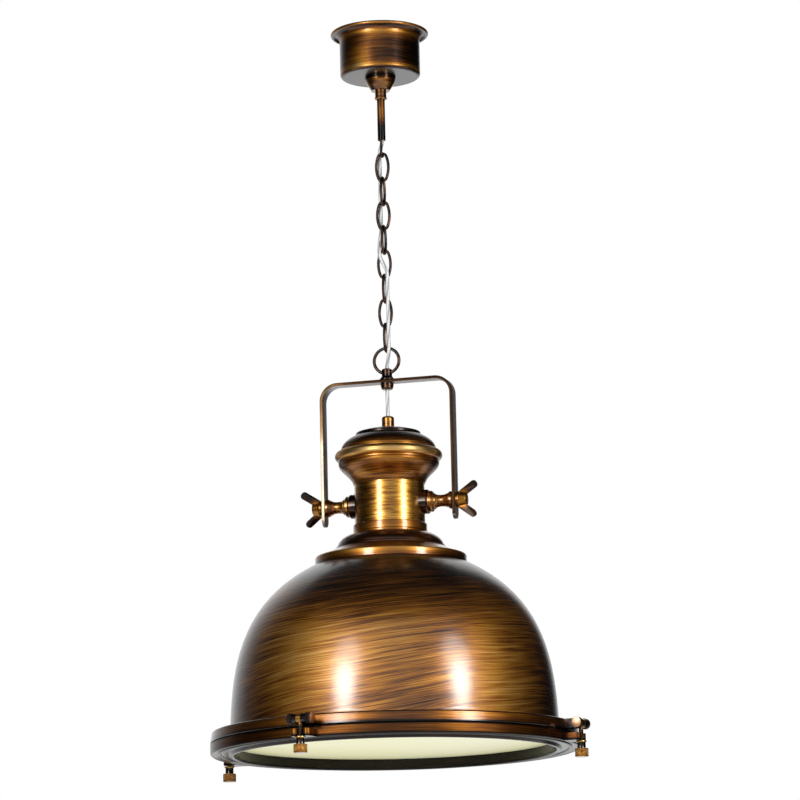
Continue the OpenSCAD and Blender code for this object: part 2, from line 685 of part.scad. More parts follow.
// Step ring, flare and flange in one spun piece that sits on the dome
module neck_collar() {
  inner_r = neck_r - neck_wall;
  flange_low = dome_level(flange_r, dome_r0, dome_h) + seat_gap;
  seat_r = flange_r - 7;
  color("#7a4c20") {
    turned(concat(
      [[inner_r - shell, neck_low_z + spigot_h], [inner_r - seat_gap, neck_low_z + spigot_h],
        [inner_r - seat_gap, neck_low_z], [step_ring_r - 0.6, neck_low_z], [step_ring_r, neck_low_z - 0.6],
        [step_ring_r, step_low_z + 0.6], [step_ring_r - 1, step_low_z], [step_ring_r - 1, step_low_z - 1.6]],
      curve([step_ring_r + 0.7, step_low_z - 2], [step_ring_r + 8, step_low_z - 2.6],
        [flare_r - 1.4, flare_z + 8], [flare_r, flare_z], 10),
      [[flare_r + 1.4, flare_z - 0.6], [flare_r + 1.8, flare_z - 2]],
      curve([flare_r + 2.4, flare_z - 2.4], [flare_r + 8, flare_z - 5.6], [flange_r - 9, flange_top_z + 2],
        [flange_r - 2.4, flange_top_z], 8),
      arc([flange_r - 2.4, flange_top_z - 2.4], 2.4, 75, 0, 4),
      [[flange_r, flange_low], [seat_r, dome_level(seat_r, dome_r0, dome_h) + 2 * seat_gap],
        [seat_r, flange_top_z - shell]],
      curve([seat_r - 4, flange_top_z + 1 - shell], [flare_r + 6, flange_top_z + 2 - shell],
        [flare_r + 1, flare_z - 4 - shell], [flare_r - 2, flare_z - shell], 6),
      curve([flare_r - 3, flare_z - 0.5], [flare_r - 4, flare_z + 5],
        [step_ring_r + 6, step_low_z - 2 - shell], [step_ring_r - 2, step_low_z - 2 - shell], 6),
      [[inner_r - shell, step_low_z - 2 - shell]]
    ));
    for (a = screw_turns) rotate([0, 0, a]) screw_post();
  }
}

// A post under the collar that takes one screw through the dome
module screw_post() {
  low = dome_level(screw_circle_r - post_d / 2, dome_r0, dome_h) + seat_gap;
  difference() {
    translate([screw_circle_r, 0, low]) cylinder(h = flare_z + 4.5 - low, d = post_d);
    translate([screw_circle_r, 0, low - 1]) cylinder(h = screw_reach + 3, d = screw_d + 2 * seat_gap);
  }
}

module collar_screws() {
  top = dome_level(screw_circle_r, dome_r0, dome_h) + screw_reach;
  low = plate_top_z - plate_t;
  head_z = low - screw_head_h;
  color("silver") for (a = screw_turns) rotate([0, 0, a]) translate([screw_circle_r, 0, 0]) {
    translate([0, 0, low]) cylinder(h = top - low, d = screw_d);
    difference() {
      translate([0, 0, head_z]) cylinder(h = screw_head_h, d = screw_head_d);
      translate([0, 0, head_z - 1]) cylinder(h = 1 + screw_head_h / 2, d = screw_socket_d, $fn = 6);
    }
  }
}

module clamp_plate() {
  color("silver") difference() {
    ring(plate_r, plate_hole_r, plate_top_z - plate_t, plate_top_z);
    for (a = screw_turns) rotate([0, 0, a]) translate([screw_circle_r, 0, plate_top_z - plate_t - 1])
      cylinder(h = plate_t + 2, d = screw_d + 4 * seat_gap);
    for (a = [0, 180]) rotate([0, 0, a]) translate([holder_screw_x, 0, plate_top_z - plate_t - 1])
      cylinder(h = plate_t + 2, d = holder_screw_d + 2 * seat_gap);
  }
}

module lamp_holder() {
  top = plate_top_z + holder_h - 12;
  socket_r = lamp_thread_r + 0.5;
  socket_top = holder_low_z + lamp_cap_h + 3;
  cord_r = cord_d / 2 + face_gap;
  color("ivory") difference() {
    turned([
      [cord_r, top], [holder_r - 5, top], [holder_r, top - 6], [holder_r, plate_top_z - plate_t],
      [holder_flange_r, plate_top_z - plate_t], [holder_flange_r, holder_low_z], [socket_r, holder_low_z],
      [socket_r, socket_top], [cord_r, socket_top]
    ]);
    for (a = [0, 180]) rotate([0, 0, a]) translate([holder_screw_x, 0, holder_low_z - 1])
      cylinder(h = holder_flange_t + 2, d = holder_screw_d + 4 * seat_gap);
  }
}

module holder_screws() {
  head_h = 2.2;
  color("silver") for (a = [0, 180]) rotate([0, 0, a]) translate([holder_screw_x, 0, 0]) {
    translate([0, 0, holder_low_z]) cylinder(h = plate_top_z + 2 - holder_low_z, d = holder_screw_d);
    translate([0, 0, holder_low_z - head_h]) cylinder(h = head_h, d = holder_screw_d + 2.6);
  }
}

module lamp() {
  tip = holder_low_z + lamp_cap_h;
  low = holder_low_z - bulb_len;
  bulb_c = [0, low + bulb_r];
  color("white") turned(concat(
    [[0, tip], [4.6, tip], [6, tip - 2], [lamp_thread_r, tip - 5], [lamp_thread_r, holder_low_z - 1]],
    curve([lamp_neck_r, holder_low_z - 2], [lamp_neck_r + 2, holder_low_z - 16],
      [bulb_r - 3, low + bulb_r + 16], [bulb_r, low + bulb_r], 8),
    arc(bulb_c, bulb_r, -10, -80, 7),
    [[0, low]]
  ));
}

module pivot_studs() {
  color("#5a3a1c") both_pivots() along_x(stud_d, stud_in, stud_out);
}

module pivot_inner_nuts() {
  color("silver") both_pivots() difference() {
    translate([inner_nut_out - inner_nut_h, 0, 0]) rotate([0, 90, 0])
      cylinder(h = inner_nut_h, d = inner_nut_af / cos(30), $fn = 6);
    along_x(stud_d + 2 * seat_gap, 0, neck_r);
  }
}

// A round boss whose inner face is a saddle on the neck
module pivot_bosses() {
  r = boss_d / 2;
  l = boss_end - neck_r + 6;
  color("#2a1d14") both_pivots() difference() {
    translate([boss_end - l, 0, 0]) rotate([0, 90, 0])
      turned([[0, 0], [r, 0], [r, l - 1.2], [r - 1.2, l], [0, l]]);
    translate([0, 0, -boss_d]) cylinder(h = 2 * boss_d, r = neck_r + seat_gap);
    along_x(stud_d + 2 * seat_gap, 0, boss_end + 1);
  }
}

module pivot_spacers() {
  r = spacer_d / 2;
  w = spacer_waist_d / 2;
  hole_r = stud_d / 2 + seat_gap;
  l = spacer_end - boss_end;
  color("#b07a2c") both_pivots() translate([boss_end, 0, 0]) rotate([0, 90, 0]) turned(concat(
    [[hole_r, 0], [r - 0.8, 0], [r, 0.8], [r, 3.4], [r - 1, 4.4], [r - 2.6, 4.8], [r - 2.8, 6.6]],
    curve([r - 3.4, 7.2], [w - 0.4, 9], [w - 0.6, l - 12], [w + 0.2, l - 9], 8),
    curve([w + 0.7, l - 7.6], [w + 1.4, l - 5.6], [w + 2.2, l - 4.6], [w + 3, l - 3.4], 5),
    [[w + 3.1, l - 0.8], [w + 2.3, l], [hole_r, l]]
  ));
}

// A wing nut on the X axis, its two wings splayed away from the yoke
module wing_nut_shape() {
  r = wing_hub_d / 2;
  tip_c = [wing_start + wing_tip_x, wing_reach - wing_w / 2];
  root_c = [wing_start + 5, r - 2.7];
  lean = atan2(tip_c[1] - root_c[1], tip_c[0] - root_c[0]);
  wing_l = norm(tip_c - root_c);
  color("#8a5a24") difference() {
    union() {
      translate([wing_start, 0, 0]) rotate([0, 90, 0]) turned([
        [0, 0], [r - 0.8, 0], [r, 0.8], [r, 2.8], [r - 0.7, 3.6],
        [r - 1.9, wing_hub_l - 0.8], [r - 2.7, wing_hub_l], [0, wing_hub_l]
      ]);
      for (s = [0, 180]) rotate([s, 0, 0]) translate([0, wing_t / 2, 0]) rotate([90, 0, 0])
        linear_extrude(wing_t) {
          translate(root_c) rotate([0, 0, lean]) translate([0, -wing_w / 2]) square([wing_l, wing_w]);
          translate(tip_c) circle(d = wing_w);
        }
    }
    along_x(stud_d + 2 * run_gap, wing_start - 1, stud_out + face_gap);
  }
}

module wing_nut_right() {
  translate([0, 0, pivot_z]) rotate([right_nut_turn, 0, 0]) wing_nut_shape();
}

module wing_nut_left() {
  translate([0, 0, pivot_z]) rotate([-left_nut_turn, 0, 180]) wing_nut_shape();
}

module dome() {
  out_line = dome_line(dome_r0, dome_h, dome_hole_r, dome_flange_z, dome_steps);
  in_line = dome_line(dome_in_r0, dome_in_h, dome_hole_r, dome_flange_z - dome_wall, dome_steps);
  color("#4a2c12") difference() {
    turned(concat(
      out_line,
      [[rim_r - upper_ring_wall, dome_flange_z], [rim_r - upper_ring_wall, dome_flange_z - dome_wall]],
      flip(in_line)
    ));
    for (a = screw_turns) rotate([0, 0, a])
      translate([screw_circle_r, 0, dome_level(screw_circle_r, dome_r0, dome_h) - screw_reach])
        cylinder(h = 2 * screw_reach, d = screw_d + 4 * seat_gap);
  }
}

// Two ears for a pin at one station
module ears() {
  difference() {
    for (s = [-1, 1]) translate([s * (ear_gap + ear_t) / 2, 0, 0]) {
      translate([-ear_t / 2, -pin_r, pin_z]) rotate([0, 90, 0]) cylinder(h = ear_t, r = ear_r);
      translate([-ear_t / 2, -pin_r, pin_z - ear_r])
        cube([ear_t, pin_reach + upper_ring_wall - 0.2, 2 * ear_r]);
    }
    translate([0, -pin_r, pin_z]) along_x(pin_d + 2 * seat_gap, -pin_half - 1, pin_half + 1);
  }
}

module rim_ring() {
  inner_r = dome_radius(rim_top_z, dome_r0, dome_h) + 4 * seat_gap;
  wall_in = rim_r - upper_ring_wall;
  edge_r = 2;
  edge_c = [rim_r - rim_lean - edge_r, rim_top_z - edge_r];
  shoulder_w = 4;
  color("#6a4020") {
    turned(concat(
      [[inner_r, rim_top_z - edge_r], [inner_r, rim_top_z]],
      arc(edge_c, edge_r, 90, 10, 5),
      [[rim_r, ring_low_z + 0.5], [rim_r - 0.5, ring_low_z], [wall_in, ring_low_z],
        [wall_in, rim_shoulder_z], [wall_in - shoulder_w, rim_shoulder_z],
        [wall_in - shoulder_w, rim_top_z - edge_r]]
    ));
    for (a = stations) at_station(a) ears();
  }
}

module glass_gasket() {
  color("#d8d8d0") ring(glass_r - 1, glass_r - 9, glass_top_z, gasket_top_z);
}

module glass() {
  color("#e8ebc0") translate([0, 0, glass_low_z]) cylinder(h = glass_t, r = glass_r);
}

// Fork lug on the lens ring, its slot open outwards
module fork_lug() {
  tine_r = (lug_w - fork_slot) / 4;
  tine_x = lug_w / 2 - tine_r;
  tine_y = -pin_r - tine_past + tine_r;
  difference() {
    union() {
      for (s = [-1, 1]) translate([s * tine_x, tine_y, lens_low_z]) cylinder(h = lug_h, r = tine_r);
      for (s = [-1, 1]) translate([s * tine_x - tine_r, tine_y, lens_low_z])
        cube([2 * tine_r, -tine_y - rim_r + 1.5, lug_h]);
      translate([-lug_w / 2, -pin_r + fork_slot / 2 + 0.5, lens_low_z])
        cube([lug_w, pin_reach - fork_slot / 2 + 1, lug_h]);
    }
    translate([0, -pin_r, lens_low_z - 1]) cylinder(h = lug_h + 2, d = fork_slot);
    translate([-fork_slot / 2, -pin_r - 10, lens_low_z - 1]) cube([fork_slot, 10, lug_h + 2]);
  }
}

// Hinge arm on the lens ring, up to the pin between the rim's two ears
module hinge_arm() {
  difference() {
    union() {
      translate([-eye_w / 2, -pin_r, pin_z]) rotate([0, 90, 0]) cylinder(h = eye_w, r = ear_r);
      translate([-eye_w / 2, -pin_r - ear_r, hinge_foot_z])
        cube([eye_w, 2 * ear_r, pin_z - hinge_foot_z]);
      translate([-eye_w / 2, -pin_r, hinge_foot_z])
        cube([eye_w, pin_reach + 1, lens_top_z - 0.5 - hinge_foot_z]);
    }
    translate([0, -pin_r, pin_z]) along_x(pin_d + 2 * run_gap, -eye_w, eye_w);
  }
}

// A channel ring: outer wall, moulded underside, hanging lip and two lands under the glass
module lens_ring() {
  ledge_z = glass_low_z;
  wall_in = rim_r - lens_wall;
  low = lens_low_z;
  lip_z = low - lens_lip_drop;
  bead_z = low + lens_bead_r;
  floor_z = bead_z + lens_wall;
  land_r = glass_r - 6;
  color("#6a4020") {
    turned(concat(
      [[wall_in, floor_z], [wall_in, lens_top_z - 0.5], [wall_in + 0.5, lens_top_z],
        [rim_r - 0.5, lens_top_z], [rim_r, lens_top_z - 0.5], [rim_r, low + lens_edge_r]],
      arc([rim_r - lens_edge_r, low + lens_edge_r], lens_edge_r, 0, -80, 4),
      [[rim_r - 4, low + 0.8], [rim_r - 7.5, bead_z]],
      arc([rim_r - 10, bead_z], lens_bead_r, 0, -180, 6),
      [[rim_r - 13, low + 1.2], [lens_open_r + 2.5 * lip_bead_r, low + 1]],
      arc([lens_open_r + lip_bead_r, lip_z + lip_bead_r], lip_bead_r, -30, -180, 6),
      [[lens_open_r, ledge_z], [lens_open_r + lens_wall, ledge_z],
        [lens_open_r + lens_wall, floor_z], [land_r - lens_wall, floor_z], [land_r - lens_wall, ledge_z],
        [land_r, ledge_z], [land_r, floor_z]]
    ));
    for (a = [stations[0], stations[1], stations[2]]) at_station(a) fork_lug();
    at_station(stations[3]) hinge_arm();
  }
}

module pin_shape() {
  translate([0, -pin_r, pin_z]) {
    along_x(pin_d, -pin_half - seat_gap, pin_half + seat_gap);
    for (s = [0, 180]) rotate([0, 0, s]) translate([pin_half + seat_gap, 0, 0]) rotate([0, 90, 0])
      turned([
        [0, 0], [pin_head_r - 0.5, 0], [pin_head_r, 0.5], [pin_head_r, pin_head_l - 0.7],
        [pin_head_r - 0.7, pin_head_l], [0, pin_head_l]
      ]);
  }
}

module latch_pins() {
  color("#b07a2c") for (a = [stations[0], stations[1], stations[2]]) at_station(a) pin_shape();
}

module hinge_pin() {
  color("#b07a2c") at_station(stations[3]) pin_shape();
}

module swing_bolt(a) {
  color("#c08a3c") at_station(a) difference() {
    union() {
      translate([-eye_w / 2, -pin_r, pin_z]) rotate([0, 90, 0]) cylinder(h = eye_w, r = ear_r);
      translate([0, -pin_r, bolt_low_z]) cylinder(h = pin_z - bolt_low_z, d = bolt_d);
    }
    translate([0, -pin_r, pin_z]) along_x(pin_d + 2 * run_gap, -eye_w, eye_w);
  }
}

module thumb_nut(a) {
  n = thumb_neck_d / 2;
  r = thumb_d / 2;
  bore_r = bolt_d / 2 + run_gap;
  color("#b07a2c") at_station(a) translate([0, -pin_r, 0]) turned([
    [bore_r, nut_top_z], [n + 1.1, nut_top_z], [n + 1.1, nut_top_z - washer_t], [n, nut_top_z - washer_t],
    [n, nut_neck_z], [r - 0.7, nut_neck_z], [r, nut_neck_z - 0.7],
    [r, nut_low_z + 0.9], [r - 0.9, nut_low_z], [0, nut_low_z], [0, bolt_low_z - face_gap],
    [bore_r, bolt_low_z - face_gap]
  ]);
}

// The cord: a round tube along its own points, square at both ends
module cord() {
  n = len(cord_points);
  ways = [for (i = [0:n - 1]) unit(cord_points[min(i + 1, n - 1)] - cord_points[max(i - 1, 0)])];
  rings = [for (i = [0:n - 1]) let (u = unit(cross(ways[i], [1, 0, 0])), v = cross(ways[i], u))
    for (j = [0:cord_sides - 1]) let (a = 360 * j / cord_sides)
      cord_points[i] + cord_d / 2 * (cos(a) * u + sin(a) * v)];
  sides = [for (i = [0:n - 2], j = [0:cord_sides - 1]) let (k = (j + 1) % cord_sides)
    [i * cord_sides + j, (i + 1) * cord_sides + j, (i + 1) * cord_sides + k, i * cord_sides + k]];
  caps = [
    [for (j = [0:cord_sides - 1]) j],
    [for (j = [cord_sides - 1:-1:0]) (n - 1) * cord_sides + j]
  ];
  color("#d8dadc") polyhedron(points = rings, faces = concat(sides, caps), convexity = 6);
}

ceiling_bracket();
stem_nuts();
terminal_block();
canopy();
canopy_seat_ring();
canopy_cone();
stem_collar();
stem_tube();
chain_hook();
cord();
chain_link(1);  // link_1
chain_link(2);  // link_2
chain_link(3);  // link_3
chain_link(4);  // link_4
chain_link(5);  // link_5
chain_link(6);  // link_6
chain_link(7);  // link_7
chain_link(8);  // link_8
yoke_loop();
yoke_hub();
yoke_strap();
yoke_nut();
cord_grip();
cap_gland();
gland_nut();
cap_lid();
cap_bell();
neck_tube();
neck_collar();
clamp_plate();
collar_screws();
lamp_holder();
holder_screws();
lamp();
pivot_studs();
pivot_inner_nuts();
pivot_bosses();
pivot_spacers();
wing_nut_left();
wing_nut_right();
dome();
rim_ring();
glass_gasket();
glass();
lens_ring();
hinge_pin();
latch_pins();
swing_bolt(stations[0]);  // swing_bolt_front
swing_bolt(stations[1]);  // swing_bolt_right
swing_bolt(stations[2]);  // swing_bolt_left
thumb_nut(stations[0]);  // thumb_nut_front
thumb_nut(stations[1]);  // thumb_nut_right
thumb_nut(stations[2]);  // thumb_nut_left
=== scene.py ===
# Pendant light: canopy, chain, yoke, brass neck and a spun dome with a hinged glass ring.
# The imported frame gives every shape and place; this script gives it finishes, a cord and fine turned pieces.
import json
import math

import bmesh
import bpy
import numpy as np
from mathutils import Matrix, Vector

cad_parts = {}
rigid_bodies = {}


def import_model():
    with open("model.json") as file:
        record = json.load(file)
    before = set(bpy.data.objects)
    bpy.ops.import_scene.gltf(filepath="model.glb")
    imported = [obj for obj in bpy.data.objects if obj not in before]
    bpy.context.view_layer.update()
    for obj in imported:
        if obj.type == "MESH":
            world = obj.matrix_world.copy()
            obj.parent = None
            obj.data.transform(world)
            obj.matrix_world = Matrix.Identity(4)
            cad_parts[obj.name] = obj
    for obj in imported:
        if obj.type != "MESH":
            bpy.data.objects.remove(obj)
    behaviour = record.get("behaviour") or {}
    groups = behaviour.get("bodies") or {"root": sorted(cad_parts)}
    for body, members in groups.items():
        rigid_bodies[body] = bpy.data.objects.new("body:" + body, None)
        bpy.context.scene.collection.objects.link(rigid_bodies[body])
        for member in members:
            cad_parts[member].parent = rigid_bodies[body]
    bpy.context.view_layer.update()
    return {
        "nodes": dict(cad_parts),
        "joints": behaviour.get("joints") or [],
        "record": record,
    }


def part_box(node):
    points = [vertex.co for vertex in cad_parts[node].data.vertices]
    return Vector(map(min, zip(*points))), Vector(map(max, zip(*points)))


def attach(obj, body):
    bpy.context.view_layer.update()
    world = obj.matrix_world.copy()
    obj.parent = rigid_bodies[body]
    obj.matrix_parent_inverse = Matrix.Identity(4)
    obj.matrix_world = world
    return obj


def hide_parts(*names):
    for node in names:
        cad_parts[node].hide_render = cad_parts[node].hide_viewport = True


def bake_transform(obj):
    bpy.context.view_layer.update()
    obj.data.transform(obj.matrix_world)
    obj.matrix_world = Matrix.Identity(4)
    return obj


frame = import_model()
nodes = frame["nodes"]
mm = 0.001
print("frame loaded:", len(nodes), "nodes")


def direction(azimuth):
    # level unit vector; 0 degrees is -Y, and more degrees go to the right of a viewer who stands there
    turn = math.radians(azimuth)
    return Vector((math.sin(turn), -math.cos(turn), 0.0))


# Camera: the photograph's view, from below and a little to the right of the yoke's face
view = {
    "azimuth": 16.0,
    "distance": 4.2007,
    "axisLeft": 0.0138,      # the lamp's axis lies this far left of the middle of the view
    "height": -1.2298,
    "pitchUp": 10.924,
    "roll": 1.308,
    "lens": 174.888,
    "sensor": 36.0,
}


def placeCamera(view):
    pitch, roll = math.radians(view["pitchUp"]), math.radians(view["roll"])
    ahead = -direction(view["azimuth"])
    right = direction(view["azimuth"] + 90)
    up = Vector((0, 0, 1))
    axis = ahead * math.cos(pitch) + up * math.sin(pitch)
    rise = up * math.cos(pitch) - ahead * math.sin(pitch)
    side = right * math.cos(roll) - rise * math.sin(roll)
    top = right * math.sin(roll) + rise * math.cos(roll)
    data = bpy.data.cameras.new("studioCamera")
    data.lens = view["lens"]
    data.sensor_width = view["sensor"]
    data.clip_end = 60
    camera = bpy.data.objects.new("studioCamera", data)
    place = right * view["axisLeft"] - ahead * view["distance"] + up * view["height"]
    camera.matrix_world = Matrix((
        (side.x, top.x, -axis.x, place.x),
        (side.y, top.y, -axis.y, place.y),
        (side.z, top.z, -axis.z, place.z),
        (0, 0, 0, 1),
    ))
    bpy.context.scene.collection.objects.link(camera)
    bpy.context.scene.camera = camera


placeCamera(view)
bpy.context.scene.view_settings.view_transform = "Standard"
print("camera placed")


def linear(hexColour):
    # sRGB hex to the linear values that the shaders take
    values = [int(hexColour[i:i + 2], 16) / 255 for i in (1, 3, 5)]
    return [v / 12.92 if v <= 0.04045 else ((v + 0.055) / 1.055) ** 2.4 for v in values] + [1.0]


def addNode(tree, kind, values=None, links=None):
    # one node; capitalised or numbered keys are its sockets, "stops" fills a colour ramp with colours or
    # values, the rest are settings
    node = tree.nodes.new(kind)
    for key, value in (values or {}).items():
        if key == "stops":
            ramp = node.color_ramp.elements
            while len(ramp) < len(value):
                ramp.new(1.0)
            for element, (position, colour) in zip(ramp, value):
                element.position = position
                element.color = linear(colour) if isinstance(colour, str) else (colour, colour, colour, 1.0)
        elif isinstance(key, int) or key[0].isupper():
            node.inputs[key].default_value = value
        else:
            setattr(node, key, value)
    for key, source in (links or {}).items():
        tree.links.new(source, node.inputs[key])
    return node


def newMaterial(name):
    material = bpy.data.materials.new(name)
    material.use_nodes = True
    material.node_tree.nodes.clear()
    return material, material.node_tree


def finishMaterial(tree, shader):
    addNode(tree, "ShaderNodeOutputMaterial", links={"Surface": shader.outputs[0]})


def followMeasure(tree, source, stops):
    # a value that changes along a measure of the piece: stops are (mm, value)
    low, high = stops[0][0], stops[-1][0]
    share = addNode(tree, "ShaderNodeMapRange", {1: low * mm, 2: high * mm}, {0: source})
    spots = [((at - low) / (high - low), value) for at, value in stops]
    return addNode(tree, "ShaderNodeValToRGB", {"stops": spots}, {0: share.outputs[0]}).outputs[0]


def radiusFrom(tree, place):
    # distance from the lamp's upright axis
    flat = addNode(tree, "ShaderNodeVectorMath", {"operation": "MULTIPLY", 1: (1, 1, 0)}, {0: place})
    return addNode(tree, "ShaderNodeVectorMath", {"operation": "LENGTH"}, {0: flat.outputs[0]}).outputs["Value"]


def rubbedMetalAndPaintedLight(spec):
    # Strokes of a wire brush through dark patina: noise drawn out across the axis that the brush crossed.
    # On turned pieces the way along the profile is z - fall * radius, so strokes run round crowns as on walls.
    # The value is worn, or a ramp by level, times a ramp by radius, plus strokes, cloud and patches, where 0 is full
    # patina and 1 is bare metal; besides wear, the ramps and patches also carry painted highlights and painted shade.
    material, tree = newMaterial(spec["name"])
    place = addNode(tree, "ShaderNodeTexCoord").outputs["Object"]
    axis = {"x": (1, 0, 0), "y": (0, 1, 0), "z": (0, 0, 1), "round": (1, 1, 0)}[spec["axis"]]
    lean = direction(view["azimuth"] + 90) * -spec.get("lean", 0.0)
    radius = radiusFrom(tree, place)
    drop = addNode(tree, "ShaderNodeMath", {"operation": "MULTIPLY", 1: -spec.get("fall", 0.0)}, {0: radius})
    slant = addNode(tree, "ShaderNodeVectorMath", {"operation": "DOT_PRODUCT", 1: lean}, {0: place})
    waver = addNode(tree, "ShaderNodeTexNoise", {"Scale": 1 / spec["waverLength"], "Detail": 1.0}, {"Vector": place})
    waver = addNode(tree, "ShaderNodeMath", {"operation": "MULTIPLY_ADD", 1: 2 * spec["waver"], 2: -spec["waver"]},
                    {0: waver.outputs[0]})
    shift = addNode(tree, "ShaderNodeMath", {"operation": "ADD"}, {0: drop.outputs[0], 1: slant.outputs["Value"]})
    shift = addNode(tree, "ShaderNodeMath", {"operation": "ADD"}, {0: shift.outputs[0], 1: waver.outputs[0]})
    shift = addNode(tree, "ShaderNodeVectorMath", {"operation": "SCALE", 0: axis}, {"Scale": shift.outputs[0]})
    moved = addNode(tree, "ShaderNodeVectorMath", {"operation": "ADD"}, {0: place, 1: shift.outputs[0]}).outputs[0]
    terms = []
    for length, width, depth in (spec["broad"], spec["fine"]):
        scale = [1 / width if v else 1 / length for v in axis]
        vector = addNode(tree, "ShaderNodeVectorMath", {"operation": "MULTIPLY", 1: scale}, {0: moved})
        noise = addNode(tree, "ShaderNodeTexNoise", {"Scale": 1.0, "Detail": 4.0, "Roughness": 0.55},
                        {"Vector": vector.outputs[0]})
        terms.append(addNode(tree, "ShaderNodeMapRange", {1: 0.3, 2: 0.7, 3: -depth, 4: depth},
                             {0: noise.outputs[0]}).outputs[0])
    cloud = addNode(tree, "ShaderNodeTexNoise", {"Scale": 1 / spec["cloud"], "Detail": 2.0}, {"Vector": place})
    terms.append(addNode(tree, "ShaderNodeMapRange", {1: 0.3, 2: 0.7, 3: -spec["cloudDepth"], 4: spec["cloudDepth"]},
                         {0: cloud.outputs[0]}).outputs[0])
    # each patch lightens or darkens round a spot: painted highlights and painted shade, and wear on some pieces
    for spot, reach, gain, *even in spec.get("patches", ()):
        away = addNode(tree, "ShaderNodeVectorMath", {"operation": "DISTANCE", 1: [v * mm for v in spot]}, {0: place})
        near = even[0] * mm if even else 0.0
        terms.append(addNode(tree, "ShaderNodeMapRange", {"interpolation_type": "SMOOTHSTEP", 1: near, 2: reach * mm,
                                                          3: gain, 4: 0.0}, {0: away.outputs["Value"]}).outputs[0])
    if "levels" in spec:
        level = addNode(tree, "ShaderNodeSeparateXYZ", links={0: place}).outputs[spec.get("levelAxis", 2)]
        wearAndPaintedLight = followMeasure(tree, level, spec["levels"])
    else:
        wearAndPaintedLight = addNode(tree, "ShaderNodeValue").outputs[0]
        wearAndPaintedLight.default_value = spec["worn"]
    if "radii" in spec:
        wearAndPaintedLight = addNode(tree, "ShaderNodeMath", {"operation": "MULTIPLY"},
                      {0: wearAndPaintedLight, 1: followMeasure(tree, radius, spec["radii"])}).outputs[0]
    for term in terms:
        wearAndPaintedLight = addNode(tree, "ShaderNodeMath", {"operation": "ADD"}, {0: wearAndPaintedLight, 1: term}).outputs[0]
    colour = addNode(tree, "ShaderNodeValToRGB", {"stops": spec["stops"]}, {0: wearAndPaintedLight})
    rough = addNode(tree, "ShaderNodeMapRange", {1: 0.2, 2: 0.8, 3: spec["roughDark"], 4: spec["roughRubbed"]},
                    {0: wearAndPaintedLight})
    bump = addNode(tree, "ShaderNodeBump", {"Strength": spec["bump"], "Distance": 0.05 * mm}, {"Height": terms[1]})
    shader = addNode(tree, "ShaderNodeBsdfPrincipled", {
        "Metallic": 1.0, "Coat Weight": spec["lacquer"], "Coat Roughness": spec["lacquerRough"],
        "Coat IOR": spec.get("lacquerIor", 1.5),
    }, {"Base Color": colour.outputs[0], "Roughness": rough.outputs[0], "Normal": bump.outputs[0]})
    finishMaterial(tree, shader)
    return material


def sideShadePatches(radius, level, reach, gain):
    # painted shade at both sides of a turned piece as the camera sees it, where its reflections turn dark
    side = direction(view["azimuth"] + 90) * radius
    return [((side.x, side.y, level), reach, gain), ((-side.x, -side.y, level), reach, gain)]


# a spot of painted highlight (gain above 0) or painted shade (gain below 0), set at a turn from the camera's side
def paintedLightSpot(turn, radius, level, reach, gain):
    spot = direction(view["azimuth"] + turn) * radius
    return (spot.x, spot.y, level), reach, gain


# Antique brass, spun: black-brown patina brushed back to gold in long rising strokes, under clear lacquer
spunBrass = {
    "name": "spunAntiqueBrass",
    "axis": "z", "fall": 0.7, "lean": 0.15,
    "waver": 7.0 * mm, "waverLength": 150 * mm,
    "broad": (110 * mm, 5 * mm, 0.12), "fine": (60 * mm, 1.2 * mm, 0.27),   # real strokes are 0.2 mm wide
    "cloud": 110 * mm, "cloudDepth": 0.15,
    # darker towards the top as painted shade; the side patches paint shade at its sides, and three spots paint
    # highlights where the two lamps and the front reflect
    "levels": ((-795, 0.46), (-760, 0.55), (-715, 0.58), (-685, 0.54), (-660, 0.42), (-630, 0.24), (-600, 0.10),
               (-582, 0.05)),
    "patches": sideShadePatches(196, -720, 130, -0.55) + [paintedLightSpot(-34, 176, -718, 110, 0.26),
                                                     paintedLightSpot(42, 190, -762, 85, 0.06),
                                                     paintedLightSpot(4, 196, -700, 80, 0.10)],
    "stops": ((0.0, "#0c0704"), (0.2, "#2b170a"), (0.4, "#6f4016"), (0.6, "#ae6f22"), (0.8, "#d0963c"),
              (1.0, "#e2b874")),
    "roughDark": 0.47, "roughRubbed": 0.50, "bump": 0.25,
    "lacquer": 1.0, "lacquerRough": 0.21, "lacquerIor": 1.75,
}
# The same brass on the smaller pieces, in shorter strokes
turnedBrass = {
    **{key: value for key, value in spunBrass.items() if key not in ("levels", "patches", "lacquerIor")},
    "name": "turnedAntiqueBrass", "lean": 0.0, "waver": 1.0 * mm, "waverLength": 60 * mm,
    "broad": (90 * mm, 3.4 * mm, 0.08), "fine": (40 * mm, 1.0 * mm, 0.10), "cloud": 60 * mm, "cloudDepth": 0.10,
    "worn": 0.40, "roughDark": 0.38, "roughRubbed": 0.40, "lacquerRough": 0.15,
}
# Cap: the lid darkens towards its top, the bead carries a painted highlight with painted shade at its sides, and the
# bell has brown hair lines
capBrass = dict(turnedBrass, name="turnedCapBrass", fall=0.4,
                broad=(60 * mm, 1.8 * mm, 0.10), fine=(26 * mm, 0.7 * mm, 0.18), cloudDepth=0.03,
                roughDark=0.38, roughRubbed=0.36, lacquer=0.5, lacquerRough=0.2,
                levels=((-514, 0.50), (-508, 0.50), (-498, 0.52), (-489, 0.55), (-482, 1.08), (-475, 0.66),
                        (-469, 0.36), (-463, 0.16), (-448, 0.08)),
                patches=sideShadePatches(59, -482, 46, -0.40))
